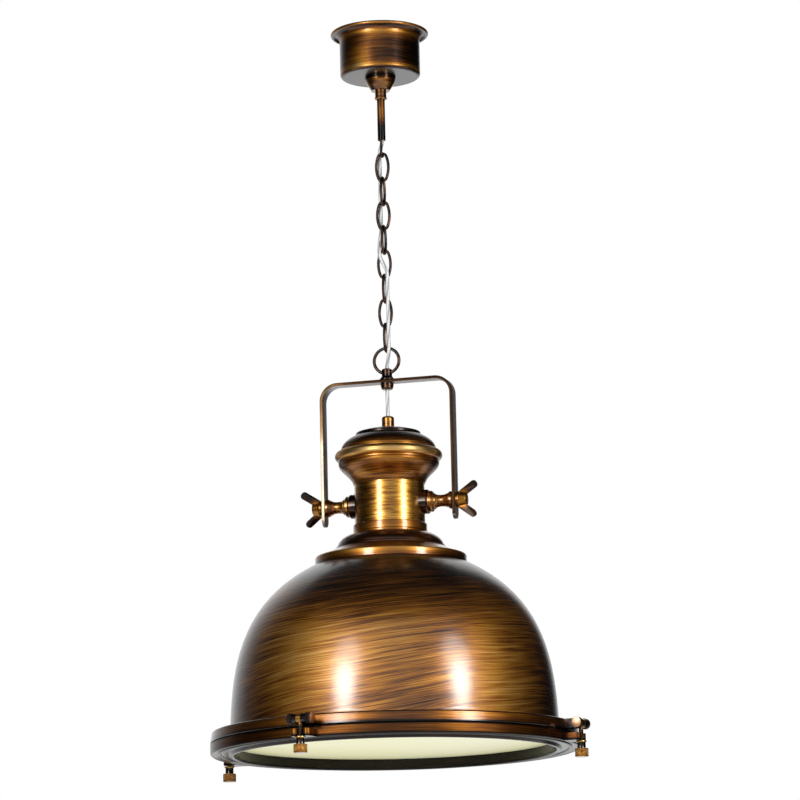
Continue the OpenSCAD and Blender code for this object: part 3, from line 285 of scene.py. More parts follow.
# Canopy: dark brown and rubbed to gold on the lip; painted highlights on the coves, on a patch low on the left and on
# the front, painted shade at the sides, and dark under the top lip
canopyBrass = dict(turnedBrass, name="spunCanopyBrass", fall=1.0,
                   broad=(40 * mm, 2.6 * mm, 0.08), fine=(30 * mm, 0.9 * mm, 0.12),
                   levels=((-52, 0.0), (-50.5, 0.02), (-48, 0.80), (-43, 0.30), (-34, 0.20), (-20, 0.22), (-13, 0.44),
                           (-9, 0.72), (-5, 0.3), (-2.5, 0.65), (0, 0.90)),
                   lacquer=0.7,
                   radii=((44.8, 1.0), (46.5, 0.9), (48.5, 0.12), (52.8, 0.12), (53.8, 1.0)),
                   patches=sideShadePatches(45, -25, 34, -0.18) + [((-16, -42, -36), 27, 0.50), ((12, -43, -24), 30, 0.16)])
# Collar: gold on the step ring, a painted highlight along the flange's front band, dark in the flare, and painted
# shade at the sides
collarBrass = dict(turnedBrass, name="turnedCollarBrass",
                   levels=((-604, 0.30), (-594, 0.78), (-588, 0.62), (-582, 0.28), (-571, 0.50), (-566, 0.68),
                           (-556, 0.54)),
                   patches=sideShadePatches(83, -592, 52, -0.32))
# Rings: the walls are rubbed a little; the groove, the top edge against the dome, the inner wall and the underside
# keep their patina and are painted darker as shade, with painted shade at the sides too
rimBrass = dict(turnedBrass, name="turnedRimBrass", broad=(160 * mm, 2.6 * mm, 0.08), cloud=90 * mm,
                levels=((-796, 0.04), (-793.4, 0.06), (-792.4, 0.38), (-787, 0.50), (-784.6, 0.42), (-783.4, 0.04)),
                radii=((180, 0.1), (196, 1.0), (201, 1.0), (204, 0.1)), patches=sideShadePatches(200, -788, 130, -0.30))
# the forks outside the lens ring's wall are painted lighter as a highlight
lensRingBrass = dict(rimBrass, name="turnedLensRingBrass",
                     levels=((-811, 0.0), (-806, 0.02), (-804.6, 0.36), (-799, 0.40), (-797, 0.34), (-796, 0.04)),
                     radii=((188, 0.0), (196, 1.0), (202, 1.0), (206, 1.4)), lacquer=0.45)
# Brass rubbed almost bare on the neck and the nuts: gold with short brown hair lines
bareBrass = dict(turnedBrass, name="rubbedBrass", broad=(36 * mm, 2.6 * mm, 0.12), fine=(13 * mm, 0.7 * mm, 0.20),
                 waver=0.6 * mm, cloud=35 * mm, worn=0.60, roughDark=0.34, roughRubbed=0.32,
                 stops=((0.0, "#1c1008"), (0.2, "#432811"), (0.4, "#7e4f18"), (0.6, "#b97d27"), (0.8, "#dba440"),
                        (1.0, "#e8c47c")))
# Ferrules and collars: the same brass, left browner
neckBrass = dict(bareBrass, name="rubbedNeckBrass", worn=0.66, broad=(24 * mm, 2.2 * mm, 0.20),
                 fine=(11 * mm, 0.6 * mm, 0.26),
                 # painted shade at both sides, and a spot of painted shade on the left
                 patches=sideShadePatches(38.6, -535, 30, -0.36) + [paintedLightSpot(-40, 38.6, -524, 20, -0.16)])
ferruleBrass = dict(bareBrass, name="brownedBrass", worn=0.40, cloudDepth=0.16)
# Stem: a painted highlight on its left and painted shade on its right
stemBrass = dict(turnedBrass, name="drawnStemBrass", axis="round", broad=(60 * mm, 2.4 * mm, 0.16),
                 fine=(25 * mm, 0.8 * mm, 0.10), worn=0.12, lacquer=0.6,
                 patches=(((-6, -2, -92), 30, 0.42), ((6, -2, -112), 26, -0.3)))
# Latches: nuts with a washer face painted pale as a highlight, a dark neck and a rubbed head; bolts dark below a
# rubbed eye; dark pins
nutBrass = dict(bareBrass, name="latchNutBrass",
                levels=((-826, 0.42), (-820, 0.62), (-816.2, 0.54), (-815.4, 0.0), (-810, 0.0), (-809, 0.9),
                        (-807, 0.9)))
boltBrass = dict(bareBrass, name="latchBoltBrass", levels=((-823, 0.0), (-797, 0.02), (-794, 0.62), (-780, 0.72)))
pinEnds = [Vector(joint["pos_m"]) / mm + Vector(joint["axis"]) * way * 14.5
           for joint in frame["joints"] if joint["name"].startswith("swing_bolt") for way in (-1, 1)]
pinBrass = dict(bareBrass, name="latchPinBrass", worn=0.0, cloudDepth=0.05, fine=(4 * mm, 0.8 * mm, 0.08),
                broad=(12 * mm, 2.6 * mm, 0.06), lacquer=0.4,
                patches=[(tuple(spot), 5.9, 0.75, 5.2) for spot in pinEnds],
                stops=((0.0, "#1c1008"), (0.2, "#432811"), (0.5, "#a8744a"), (0.75, "#d3a078"), (1.0, "#e2b996")))
# Pieces that were turned or brushed along X
crossBrass = dict(bareBrass, name="rubbedBrassAcross", axis="x", fall=0.0, worn=0.46)
# Wing nuts: cast, dark on the wings and rubbed bright on the hub that fingers turn
wingBrass = dict(crossBrass, name="castWingBrass", worn=0.06, cloudDepth=0.05, lacquer=0.35,
                 broad=(20 * mm, 3 * mm, 0.05), fine=(8 * mm, 0.8 * mm, 0.06),
                 patches=(((-82, 0, -535), 16, 1.05), ((82, 0, -535), 16, 1.05)))
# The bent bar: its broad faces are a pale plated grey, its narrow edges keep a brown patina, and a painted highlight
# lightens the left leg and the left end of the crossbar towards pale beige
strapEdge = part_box("yoke_strap")[1].y / mm
yokeBrass = dict(turnedBrass, name="brushedYokeBrass", axis="y", fall=0.0, broad=(90 * mm, 3 * mm, 0.05),
                 fine=(40 * mm, 0.8 * mm, 0.05), cloudDepth=0.05, levelAxis=1,
                 levels=((-strapEdge - 1, 0.12), (-strapEdge + 0.5, 0.12), (-strapEdge + 1.0, 0.8),
                         (strapEdge - 1.0, 0.8), (strapEdge - 0.5, 0.12), (strapEdge + 1, 0.12)),
                 patches=(((-76, 0, -500), 120, 0.55), ((-60, -8, -398), 40, 0.1)),
                 lacquer=0.0, roughDark=0.42, roughRubbed=0.5,
                 stops=((0.0, "#1c120a"), (0.2, "#3a2615"), (0.4, "#8a6a42"), (0.55, "#e2ccaa"), (0.7, "#a7a2a2"),
                        (1.0, "#b9b5bb")))
# Oil-rubbed bronze on chain, hub and bosses: near black, worn to brown where hands and wires rub
oiledBronze = {
    "name": "oilRubbedBronze",
    "axis": "z", "waver": 1.0 * mm, "waverLength": 20 * mm,
    "broad": (9 * mm, 4 * mm, 0.15), "fine": (3 * mm, 1.1 * mm, 0.12),
    "cloud": 14 * mm, "cloudDepth": 0.2, "worn": 0.40,
    "stops": ((0.0, "#120c08"), (0.35, "#2a1a10"), (0.65, "#5c3b20"), (1.0, "#9a6d3c")),
    "roughDark": 0.34, "roughRubbed": 0.28, "bump": 0.4,
    "lacquer": 0.6, "lacquerRough": 0.12,
}
# Zinc-plated steel on hidden screws, nuts and brackets: pale grey with a faint dull mottle
zincSteel = {
    "name": "zincPlatedSteel",
    "axis": "z", "waver": 0.6 * mm, "waverLength": 15 * mm,
    "broad": (8 * mm, 6 * mm, 0.2), "fine": (2 * mm, 1.4 * mm, 0.15),
    "cloud": 12 * mm, "cloudDepth": 0.15, "worn": 0.5,
    "stops": ((0.0, "#8d9092"), (0.5, "#aeb1b2"), (1.0, "#c9cbca")),
    "roughDark": 0.42, "roughRubbed": 0.30, "bump": 0.25,
    "lacquer": 0.0, "lacquerRough": 0.1,
}


def mouldedOrGlazed(spec):
    # a smooth body with a faint mottle and a fine skin, for glaze, nylon, rubber and frosted glass
    material, tree = newMaterial(spec["name"])
    place = addNode(tree, "ShaderNodeTexCoord").outputs["Object"]
    mottle = addNode(tree, "ShaderNodeTexNoise", {"Scale": 1 / spec["mottle"], "Detail": 2.0}, {"Vector": place})
    mottle = addNode(tree, "ShaderNodeMapRange", {1: 0.3, 2: 0.7}, {0: mottle.outputs[0]})
    colour = addNode(tree, "ShaderNodeValToRGB", {"stops": spec["stops"]}, {0: mottle.outputs[0]})
    # a tone by distance from the axis; on the frosted glass it paints the shadow in the gap between the rings onto the
    # glass's edge
    if "radii" in spec:
        tone = followMeasure(tree, radiusFrom(tree, place), spec["radii"])
        colour = addNode(tree, "ShaderNodeVectorMath", {"operation": "MULTIPLY"}, {0: colour.outputs[0], 1: tone})
    grain = addNode(tree, "ShaderNodeTexNoise", {"Scale": 1 / spec["grain"], "Detail": 3.0}, {"Vector": place})
    bump = addNode(tree, "ShaderNodeBump", {"Strength": spec["bump"], "Distance": 0.1 * mm},
                   {"Height": grain.outputs[0]})
    shader = addNode(tree, "ShaderNodeBsdfPrincipled", {
        "Roughness": spec["rough"], "IOR": spec["ior"], "Coat Weight": spec.get("gloss", 0.0),
        "Coat Roughness": spec.get("glossRough", 0.05), "Transmission Weight": spec.get("clear", 0.0),
    }, {"Base Color": colour.outputs[0], "Normal": bump.outputs[0]})
    finishMaterial(tree, shader)
    return material


# Sandblasted soda glass: a milky cream green, dull from below with a soft sheen, its edge painted near black as the
# shadow in the gap between the rings
frostedGlass = {"name": "frostedSodaGlass", "stops": ((0.0, "#f6f5bc"), (1.0, "#faf8d4")), "mottle": 170 * mm,
                "grain": 1.2 * mm, "bump": 0.15, "rough": 0.45, "ior": 1.52, "gloss": 0.3, "glossRough": 0.2,
                "radii": ((188, 1.0), (190, 0.02))}
# Opal glass of the lamp's bulb: even milk white with a clean gloss
opalGlass = {"name": "opalGlass", "stops": ((0.0, "#f2f1ea"), (1.0, "#f8f8f4")), "mottle": 40 * mm,
             "grain": 2 * mm, "bump": 0.05, "rough": 0.25, "ior": 1.5, "gloss": 0.8, "glossRough": 0.05}
# Glazed porcelain of the lamp holder: warm white, glassy skin with slight waves
glazedPorcelain = {"name": "glazedPorcelain", "stops": ((0.0, "#e8e4d8"), (1.0, "#f3f0e6")), "mottle": 12 * mm,
                   "grain": 3 * mm, "bump": 0.2, "rough": 0.18, "ior": 1.55, "gloss": 0.6}
# Moulded polyamide of the terminal block: milky off-white with a dull moulded skin
mouldedNylon = {"name": "mouldedPolyamide", "stops": ((0.0, "#dedccf"), (1.0, "#ebe9df")), "mottle": 9 * mm,
                "grain": 0.5 * mm, "bump": 0.3, "rough": 0.5, "ior": 1.53}
# Silicone rubber gasket: matte black, so the joint between the rings stays a dark line
siliconeRubber = {"name": "siliconeRubber", "stops": ((0.0, "#1b1a18"), (1.0, "#282624")), "mottle": 20 * mm,
                  "grain": 0.6 * mm, "bump": 0.3, "rough": 0.62, "ior": 1.43}


def clearPvcCord(spec):
    # Clear PVC over three grey cores: bands that wind round the cord, blurred by the jacket.
    # UV: u once round the cord, v in metres along it, so a band sits at fract(3 u - v / lay).
    material, tree = newMaterial(spec["name"])
    parts = addNode(tree, "ShaderNodeSeparateXYZ",
                    links={0: addNode(tree, "ShaderNodeUVMap", {"uv_map": "cord"}).outputs[0]}).outputs
    round3 = addNode(tree, "ShaderNodeMath", {"operation": "MULTIPLY", 1: spec["cores"]}, {0: parts[0]})
    wound = addNode(tree, "ShaderNodeMath", {"operation": "MULTIPLY_ADD", 1: -1 / spec["lay"]},
                    {0: parts[1], 2: round3.outputs[0]})
    band = addNode(tree, "ShaderNodeMath", {"operation": "FRACT"}, {0: wound.outputs[0]})
    band = addNode(tree, "ShaderNodeMath", {"operation": "PINGPONG", 1: 0.5}, {0: band.outputs[0]})
    colour = addNode(tree, "ShaderNodeValToRGB", {"stops": spec["stops"]}, {0: band.outputs[0]})
    shader = addNode(tree, "ShaderNodeBsdfPrincipled", {
        "Roughness": 0.3, "IOR": 1.53, "Coat Weight": 1.0, "Coat Roughness": 0.08,
        "Subsurface Weight": 0.25, "Subsurface Radius": (1.0, 1.0, 1.0), "Subsurface Scale": 1.5 * mm,
    }, {"Base Color": colour.outputs[0]})
    finishMaterial(tree, shader)
    return material


clearPvc = {"name": "clearPvcOverGreyCores", "cores": 3.0, "lay": 26 * mm,
            "stops": ((0.0, "#7d8084"), (0.18, "#a3a5a7"), (0.35, "#c2c3c2"), (0.5, "#d2d2cf"))}

finishes = {
    "aged_bronze": rubbedMetalAndPaintedLight(turnedBrass),
    "bright_bronze": rubbedMetalAndPaintedLight(bareBrass),
    "dark_bronze": rubbedMetalAndPaintedLight(oiledBronze),
    "zinc_steel": rubbedMetalAndPaintedLight(zincSteel),
    "clear_pvc": clearPvcCord(clearPvc),
    "terminal_nylon": mouldedOrGlazed(mouldedNylon),
    "porcelain": mouldedOrGlazed(glazedPorcelain),
    "lens_glass": mouldedOrGlazed(frostedGlass),
    "bulb_glass": mouldedOrGlazed(opalGlass),
    "gasket_rubber": mouldedOrGlazed(siliconeRubber),
}
special = {}
for spec, names in (
    (spunBrass, ["dome"]), (canopyBrass, ["canopy"]), (capBrass, ["cap_lid", "cap_bell"]),
    (collarBrass, ["neck_collar"]), (rimBrass, ["rim_ring"]), (lensRingBrass, ["lens_ring"]),
    (stemBrass, ["stem_tube"]), (yokeBrass, ["yoke_strap"]), (crossBrass, ["pivot_spacers"]),
    (ferruleBrass, ["canopy_cone", "stem_collar", "cap_gland"]), (neckBrass, ["neck_tube"]),
    (boltBrass, ["swing_bolt_front", "swing_bolt_right", "swing_bolt_left"]), (pinBrass, ["hinge_pin"]),
    (wingBrass, ["wing_nut_left", "wing_nut_right"]),
):
    finish = rubbedMetalAndPaintedLight(spec)
    special.update((name, finish) for name in names)
for part in frame["record"]["subparts"]:
    mesh = nodes[part["node"]].data
    mesh.materials.clear()
    mesh.materials.append(special.get(part["node"], finishes[part["material_slot"]]))
print("finishes set:", len(bpy.data.materials))


def smoothRoute(points, perPart):
    # Catmull-Rom curve through the points: each part is the cubic whose slopes are half the chord of its neighbours
    p = np.array(points, float) * mm
    p = np.vstack([2 * p[0] - p[1], p, 2 * p[-1] - p[-2]])
    t = np.arange(perPart)[:, None, None] / perPart
    a, b, c, d = p[:-3], p[1:-2], p[2:-1], p[3:]
    curve = 0.5 * (2 * b + (c - a) * t + (2 * a - 5 * b + 4 * c - d) * t ** 2 + (3 * b - a - 3 * c + d) * t ** 3)
    return np.vstack([curve.transpose(1, 0, 2).reshape(-1, 3), p[-2:-1]])


def gridPiece(name, points, slotName, uvName=None, lengths=None, sharp=35, finish=None):
    # Rows follow the piece and columns run round it; a fan to the middle of the first and last row closes it
    rows, columns = points.shape[:2]
    i, j = np.meshgrid(np.arange(rows - 1), np.arange(columns), indexing="ij")
    k = (j + 1) % columns
    quads = np.stack([i * columns + j, i * columns + k, (i + 1) * columns + k, (i + 1) * columns + j], -1)
    quads = quads.reshape(-1, 4)
    middle = np.array([points[0].mean(0), points[-1].mean(0)])
    first, last = rows * columns, rows * columns + 1
    ring = np.arange(columns)
    after = (ring + 1) % columns
    base = (rows - 1) * columns
    fans = np.vstack([np.stack([np.full(columns, first), after, ring], -1),
                      np.stack([np.full(columns, last), base + ring, base + after], -1)])
    spots = np.vstack([points.reshape(-1, 3), middle])
    triangles = np.vstack([quads[:, [0, 1, 2]], quads[:, [0, 2, 3]], fans])
    corner = spots[triangles]
    inward = np.einsum("ij,ij->i", corner[:, 0], np.cross(corner[:, 1], corner[:, 2])).sum() < 0
    if inward:
        quads, fans = quads[:, ::-1], fans[:, ::-1]
    mesh = bpy.data.meshes.new(name)
    mesh.from_pydata(spots.tolist(), [], quads.tolist() + fans.tolist())
    if uvName:
        u = np.stack([j, j + 1, j + 1, j], -1) / columns
        v = np.stack([lengths[i], lengths[i], lengths[i + 1], lengths[i + 1]], -1)
        around = np.stack([u, v], -1).reshape(-1, 4, 2)
        if inward:
            around = around[:, ::-1]
        ends = np.zeros((len(fans) * 3, 2))
        layer = mesh.uv_layers.new(name=uvName)
        layer.data.foreach_set("uv", np.vstack([around.reshape(-1, 2), ends]).ravel())
    mesh.polygons.foreach_set("use_smooth", np.ones(len(mesh.polygons), bool))
    mesh.set_sharp_from_angle(angle=math.radians(sharp))
    mesh.materials.append(finish or finishes[slotName])
    piece = bpy.data.objects.new(name, mesh)
    bpy.context.scene.collection.objects.link(piece)
    return piece


# Cord: held in the terminal block and in the lamp holder, so its route is one with the frame's.
# It goes up and over into the stem, out at the hook, past the chain, through the hub and down the gland.
cord = {
    "diameter": 4.2,
    "sides": 20,
    "ringEvery": 1.2,
    "points": [
        (0, 20, -35.3), (0, 20, -28), (0, 19.8, -21), (0, 18.4, -14.5), (0, 15, -9.3), (0, 10.5, -7.2),
        (0, 6, -8.6), (0, 2.6, -13), (0, 1.5, -18.5), (0, 1.5, -26), (0, 1.5, -75), (0, 1.5, -124.5),
        (-0.8, 2.1, -128), (-2.4, 3.5, -131.5), (-3.8, 4.6, -135.5), (-4.3, 4.8, -141), (-4.3, 4.7, -152),
        (-4.3, 4.6, -180), (-4.3, 4.6, -210), (-4.3, 4.6, -222), (-4.4, 4.2, -228), (-4.6, 2.6, -233),
        (-4.7, 0, -237.8), (-4.6, -2.6, -242.5), (-4.4, -4.4, -247.5), (-4.2, -5, -253), (-3.2, -5.2, -258.5),
        (0, -5.2, -265.7), (3.2, -5.2, -272.5), (4.3, -5, -278), (4.3, -4.7, -286), (4.3, -4.6, -310),
        (4.3, -4.6, -340), (4.3, -4.6, -359), (4, -4.2, -366), (2.8, -3, -372), (1.2, -1.4, -378),
        (0.2, -0.3, -383), (0, 0, -388), (0, 0, -420), (0, 0, -460), (0, 0, -510), (0, 0, -570),
    ],
    "stemEnd": -124.5,       # the stem's piece of cord ends at this level
    "hub": -384.0,
    "gripLow": -407.4,       # low end of the cord grip
    "glandTop": -437.3,
}


def cordPiece(name, route, spent, start, end):
    # a circle carried along the route; its own across and depth axes come from X, which the route never follows
    count = max(6, int((end - start) / (cord["ringEvery"] * mm)))
    s = np.linspace(start, end, count)
    path = np.stack([np.interp(s, spent, route[:, k]) for k in range(3)], -1)
    way = np.gradient(path, axis=0)
    way /= np.linalg.norm(way, axis=1)[:, None]
    side = np.cross(way, [1.0, 0.0, 0.0])
    side /= np.linalg.norm(side, axis=1)[:, None]
    depth = np.cross(way, side)
    turn = 2 * np.pi * np.arange(cord["sides"]) / cord["sides"]
    circle = np.cos(turn)[None, :, None] * side[:, None] + np.sin(turn)[None, :, None] * depth[:, None]
    piece = gridPiece(name, path[:, None] + circle * cord["diameter"] / 2 * mm, "clear_pvc", "cord", s)
    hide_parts("cord")
    return piece


def makeCord():
    route = smoothRoute(cord["points"], 24)
    spent = np.concatenate([[0], np.cumsum(np.linalg.norm(np.diff(route, axis=0), axis=1))])
    falling = spent > 0.06                       # past the bend over the stem, where the level only falls

    def reach(level):
        return float(np.interp(-level, -route[falling, 2], spent[falling]))

    middles = []
    for k in range(1, 9):
        low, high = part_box(f"link_{k}")
        middles.append((low.z + high.z) / 2)
    levels = [cord["stemEnd"] * mm] + middles + [cord["hub"] * mm]
    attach(cordPiece("cordInStem", route, spent, 0, reach(levels[0])), "canopy")
    for k in range(9):
        piece = cordPiece(f"cordPast{k + 1}", route, spent, reach(levels[k]), reach(levels[k + 1]))
        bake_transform(piece)
    piece = cordPiece("cordToLamp", route, spent, reach(levels[9]), spent[-1])
    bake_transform(piece)
    print("cord made:", round(spent[-1], 3), "m")


makeCord()


def turnedGrid(profile, spec, ribbed):
    # Profile rows of (radius, level) spun round Z. On ribbed rows the radius falls by ribDepth between two sets
    # of crossing ribs: 1 - min(|sin(n a / 2 + h z)|, |sin(n a / 2 - h z)|), with h = n / (2 radius)
    r, z = np.array(profile, float).T
    turn = 2 * np.pi * np.arange(spec["columns"]) / spec["columns"]
    climb = spec["ribs"] / spec["head"] * z[:, None]
    waves = [np.abs(np.sin(spec["ribs"] / 2 * turn[None] + way * climb)) for way in (1, -1)]
    radius = r[:, None] - ribbed[:, None] * spec["ribDepth"] * (1 - np.minimum(*waves))
    return np.stack([radius * np.cos(turn), radius * np.sin(turn), np.repeat(z[:, None], len(turn), 1)], -1)


def softened(corners, bevel, steps=3):
    # each corner of an open outline gives way to a quadratic curve that starts and ends a bevel's length from it
    p = np.array(corners, float)
    out = [p[:1]]
    for before, at, after in zip(p[:-2], p[1:-1], p[2:]):
        to, on = before - at, after - at
        cut = min(bevel, np.linalg.norm(to) * 0.45, np.linalg.norm(on) * 0.45)
        a, b = at + to / np.linalg.norm(to) * cut, at + on / np.linalg.norm(on) * cut
        t = np.linspace(0, 1, steps)[:, None]
        out.append((1 - t) ** 2 * a + 2 * t * (1 - t) * at + t ** 2 * b)
    return np.vstack(out + [p[-1:]])


# Thumb nuts: a washer face and a smooth neck above a diamond-knurled head, with a blind bore for the bolt
thumbNut = {
    "washer": 11.2, "washerHigh": 1.6, "neck": 9.0, "head": 14.4, "headHigh": 9.0, "bore": 5.2, "boreSpare": 0.3,
    "ribs": 44, "ribDepth": 0.42, "columns": 264, "rows": 34,
}
# Latch pins: a plain shank between two knurled heads
latchPin = {
    "shank": 4.4, "head": 11.4, "headFrom": 7.9, "headLong": 6.6, "rim": 0.7,
    "ribs": 32, "ribDepth": 0.4, "columns": 192, "rows": 22,
}


def knurledRows(spec, radius, start, end):
    # the straight wall of a knurled head, as rows close enough for the crossing ribs
    return np.stack([np.full(spec["rows"], radius), np.linspace(start, end, spec["rows"])], -1)


def makeThumbNut(side, finish):
    low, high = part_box(f"thumb_nut_{side}")
    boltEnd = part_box(f"swing_bolt_{side}")[0].z / mm - thumbNut["boreSpare"]
    centre = (np.array(low) + np.array(high)) / 2
    neck, head, washer = thumbNut["neck"] / 2, thumbNut["head"] / 2, thumbNut["washer"] / 2
    bore = thumbNut["bore"] / 2
    bottom, top = low.z / mm, high.z / mm
    shoulder = bottom + thumbNut["headHigh"]
    ledge = top - thumbNut["washerHigh"]
    outline = [(0.1, boltEnd), (bore, boltEnd), (bore, top), (washer, top), (washer, ledge), (neck, ledge),
               (neck, shoulder), (head, shoulder), (head, shoulder - 2)]
    upper = softened(outline, 0.4)[:-1]
    lower = softened([(head, bottom + 2), (head, bottom), (0.1, bottom)], 0.9)[1:]
    wall = knurledRows(thumbNut, head, shoulder - 0.9, bottom + 1.1)
    profile = np.vstack([upper, wall, lower])
    ribbed = np.concatenate([np.zeros(len(upper)), np.ones(len(wall)), np.zeros(len(lower))])
    points = turnedGrid(profile, thumbNut, ribbed)
    points[..., :2] += centre[:2] / mm
    piece = gridPiece(f"knurledNut_{side}", points * mm, "bright_bronze", sharp=50, finish=finish)
    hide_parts(f"thumb_nut_{side}")
    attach(piece, f"thumb_nut_{side}")


def makeLatchPin(joint, finish):
    # the profile is turned about Z and then laid along the joint's own axis
    head, shank, rim = latchPin["head"] / 2, latchPin["shank"] / 2, latchPin["rim"]
    start, end = latchPin["headFrom"], latchPin["headFrom"] + latchPin["headLong"]
    outer = softened([(0.1, end), (head, end), (head, end - 2)], rim)[:-1]
    wall = knurledRows(latchPin, head, end - rim - 0.2, start + 0.6)
    inner = softened([(head, start + 0.5), (head, start), (shank, start), (shank, 0)], 0.3)
    half = np.vstack([outer, wall, inner])
    profile = np.vstack([half, half[-2::-1] * (1, -1)])
    ribbed = np.concatenate([np.zeros(len(outer)), np.ones(len(wall)), np.zeros(len(inner))])
    points = turnedGrid(profile, latchPin, np.concatenate([ribbed, ribbed[-2::-1]]))
    along = np.array(joint["axis"], float)
    side = np.cross(along, [0.0, 0.0, 1.0])
    points = points @ np.array([side, [0.0, 0.0, 1.0], along]) * mm + np.array(joint["pos_m"])
    piece = gridPiece("knurledPin_" + joint["child"].split("_")[-1], points, "bright_bronze", sharp=50, finish=finish)
    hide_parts("latch_pins")
    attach(piece, joint["parent"])


nutFinish, pinFinish = rubbedMetalAndPaintedLight(nutBrass), rubbedMetalAndPaintedLight(pinBrass)
for side in ("front", "right", "left"):
    makeThumbNut(side, nutFinish)
for joint in frame["joints"]:
    if joint["name"].startswith("swing_bolt"):
        makeLatchPin(joint, pinFinish)
print("latch nuts and pins made")


def easedCopy(nodeName, body, name, width=0.0, angle=32):
    # A copy of a CAD node without the seam where its outline was spun shut. With a width its triangles are also
    # joined into whole faces and its edges rounded, so they catch light.
    mesh = nodes[nodeName].data.copy()
    work = bmesh.new()
    work.from_mesh(mesh)
    bmesh.ops.remove_doubles(work, verts=work.verts, dist=0.002 * mm)
    if width:
        bmesh.ops.dissolve_limit(work, angle_limit=math.radians(0.5), verts=work.verts, edges=work.edges)
        edges = [e for e in work.edges if len(e.link_faces) == 2 and e.calc_face_angle() > math.radians(angle)]
        bmesh.ops.bevel(work, geom=edges, offset=width * mm, offset_type="OFFSET", segments=3, profile=0.5,
                        affect="EDGES", clamp_overlap=True)
    work.to_mesh(mesh)
    work.free()
    mesh.name = name
    mesh.polygons.foreach_set("use_smooth", np.ones(len(mesh.polygons), bool))
    mesh.set_sharp_from_angle(angle=math.radians(38))
    piece = bpy.data.objects.new(name, mesh)
    bpy.context.scene.collection.objects.link(piece)
    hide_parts(nodeName)
    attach(piece, body)


easedCopy("wing_nut_left", "wing_nut_left", "castWingNut_left", 0.7)
easedCopy("wing_nut_right", "wing_nut_right", "castWingNut_right", 0.7)
easedCopy("yoke_strap", "yoke", "bentYokeStrap", 0.4)
easedCopy("dome", "shade", "spunDome")
print("edges eased")


# Light: two tall soft lamps in front, white all round behind, dark cards at the sides for the metal to reflect
lights = {
    "coreLeft": {"turn": -33, "away": 1.5, "middle": -0.36, "wide": 0.34, "high": 0.40, "watts": 4.6},
    "glowLeft": {"turn": -33, "away": 1.6, "middle": -0.07, "wide": 0.56, "high": 0.85, "watts": 5.5},
    "coreRight": {"turn": 46, "away": 1.5, "middle": -0.36, "wide": 0.34, "high": 0.40, "watts": 4.6},
    "glowRight": {"turn": 46, "away": 1.6, "middle": -0.07, "wide": 0.56, "high": 0.85, "watts": 5.5},
}
room = {"level": 0.95, "floor": -2.0, "floorSize": 14.0}
# What polished metal sees round it, from the camera's side: (turn, brightness), and above it
curtain = {
    "away": 2.6, "low": -1.95, "high": 2.2, "segments": 96,
    "tones": ((-180, 1.0), (-158, 0.9), (-140, 0.48), (-124, 0.10), (-108, 0.01), (-70, 0.01), (-50, 0.24),
              (0, 0.50), (58, 0.24), (74, 0.01), (151, 0.01), (160, 0.7), (167, 1.0), (180, 1.0)),
    "ceiling": 0.02,
}


def makeLamps():
    for name, lamp in lights.items():
        data = bpy.data.lights.new(name, "AREA")
        data.shape = "ELLIPSE"
        data.size, data.size_y = lamp["wide"], lamp["high"]
        data.energy = lamp["watts"]
        source = bpy.data.objects.new(name, data)
        out = direction(view["azimuth"] + lamp["turn"])
        source.location = out * lamp["away"] + Vector((0, 0, lamp["middle"]))
        source.rotation_euler = (-out).to_track_quat("-Z", "Y").to_euler()
        source.visible_camera = False
        bpy.context.scene.collection.objects.link(source)


def makeRoom():
    world = bpy.data.worlds.new("studio")
    bpy.context.scene.world = world
    world.use_nodes = True
    tree = world.node_tree
    tree.nodes.clear()
    path = addNode(tree, "ShaderNodeLightPath").outputs
    seen = addNode(tree, "ShaderNodeMath", {"operation": "MAXIMUM"},
                   {0: path["Is Glossy Ray"], 1: path["Is Transmission Ray"]})
    seen = addNode(tree, "ShaderNodeMath", {"operation": "MAXIMUM"}, {0: path["Is Camera Ray"], 1: seen.outputs[0]})
    soft = addNode(tree, "ShaderNodeBackground", {"Color": linear("#ffffff"), "Strength": room["level"]})
    white = addNode(tree, "ShaderNodeBackground", {"Color": linear("#ffffff"), "Strength": 1.0})
    mix = addNode(tree, "ShaderNodeMixShader", {}, {0: seen.outputs[0], 1: soft.outputs[0], 2: white.outputs[0]})
    addNode(tree, "ShaderNodeOutputWorld", links={"Surface": mix.outputs[0]})
    half = room["floorSize"] / 2
    stagePiece("floor", np.array([[[-half, -half, room["floor"]], [half, -half, room["floor"]]],
                                  [[-half, half, room["floor"]], [half, half, room["floor"]]]]),
               dullPaint("floorPaint", "#f7f6f3"))


def dullPaint(name, hexColour):
    material, tree = newMaterial(name)
    finishMaterial(tree, addNode(tree, "ShaderNodeBsdfPrincipled",
                                 {"Base Color": linear(hexColour), "Roughness": 0.9, "Specular IOR Level": 0.1}))
    return material


def stagePiece(name, points, material):
    # an open grid of points in one paint
    rows, columns = points.shape[:2]
    i, j = np.meshgrid(np.arange(rows - 1), np.arange(columns - 1), indexing="ij")
    quads = np.stack([i * columns + j, i * columns + j + 1, (i + 1) * columns + j + 1, (i + 1) * columns + j], -1)
    mesh = bpy.data.meshes.new(name)
    mesh.from_pydata(points.reshape(-1, 3).tolist(), [], quads.reshape(-1, 4).tolist())
    mesh.materials.append(material)
    piece = bpy.data.objects.new(name, mesh)
    bpy.context.scene.collection.objects.link(piece)
    return piece


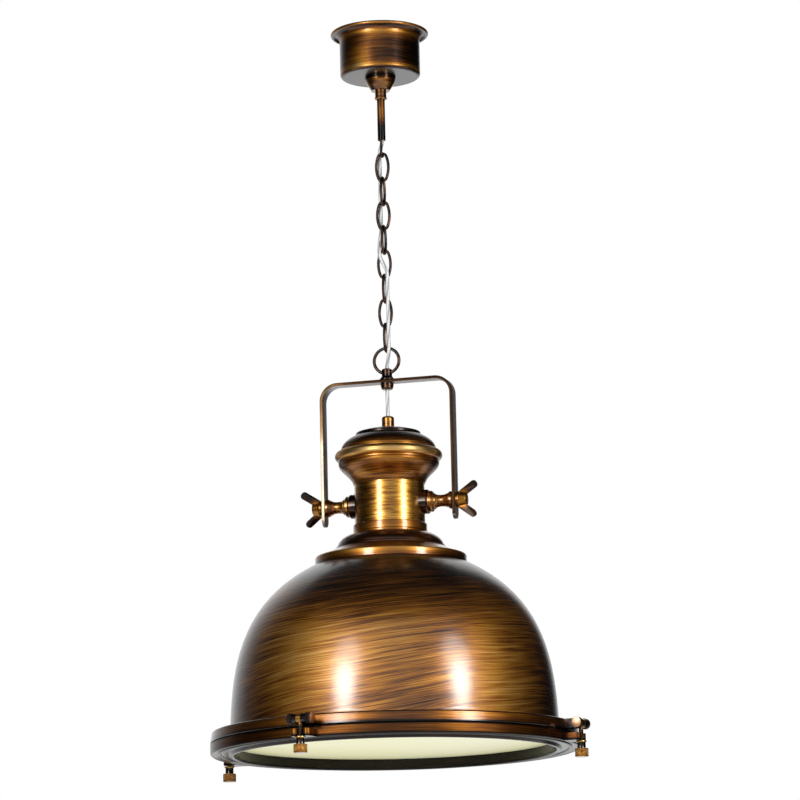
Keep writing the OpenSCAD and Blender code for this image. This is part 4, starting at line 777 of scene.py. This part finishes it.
def makeCurtain():
    # a wall and a ceiling that only reflections see, so the brass shows dark sides between soft lamps
    material, tree = newMaterial("curtainTones")
    parts = addNode(tree, "ShaderNodeSeparateXYZ",
                    links={0: addNode(tree, "ShaderNodeTexCoord").outputs["Object"]}).outputs
    ahead, across = direction(view["azimuth"]), direction(view["azimuth"] + 90)
    spots = addNode(tree, "ShaderNodeCombineXYZ", links={0: parts[0], 1: parts[1]}).outputs[0]
    near = addNode(tree, "ShaderNodeVectorMath", {"operation": "DOT_PRODUCT", 1: ahead}, {0: spots}).outputs["Value"]
    side = addNode(tree, "ShaderNodeVectorMath", {"operation": "DOT_PRODUCT", 1: across}, {0: spots}).outputs["Value"]
    turn = addNode(tree, "ShaderNodeMath", {"operation": "ARCTAN2"}, {0: side, 1: near}).outputs[0]
    share = addNode(tree, "ShaderNodeMapRange", {1: -math.pi, 2: math.pi}, {0: turn}).outputs[0]
    tones = addNode(tree, "ShaderNodeValToRGB",
                    {"stops": [((at + 180) / 360, value) for at, value in curtain["tones"]]}, {0: share})
    roof = addNode(tree, "ShaderNodeMath", {"operation": "GREATER_THAN", 1: curtain["high"] - 0.01}, {0: parts[2]})
    dark = curtain["ceiling"]
    colour = addNode(tree, "ShaderNodeMix", {"data_type": "RGBA", 7: (dark, dark, dark, 1)},
                     {"Factor": roof.outputs[0], 6: tones.outputs[0]}).outputs[2]
    finishMaterial(tree, addNode(tree, "ShaderNodeEmission", {"Strength": 1.0}, {"Color": colour}))
    turns = np.radians(np.linspace(0, 360, curtain["segments"] + 1))
    rows = [(curtain["away"], curtain["low"]), (curtain["away"], curtain["high"] - 0.02),
            (curtain["away"], curtain["high"]), (0.01, curtain["high"])]
    points = np.array([[(r * math.sin(t), -r * math.cos(t), z) for t in turns] for r, z in rows])
    piece = stagePiece("curtain", points, material)
    for rays in ("visible_camera", "visible_diffuse", "visible_transmission", "visible_shadow"):
        setattr(piece, rays, False)


makeLamps()
makeRoom()
makeCurtain()
print("light set")
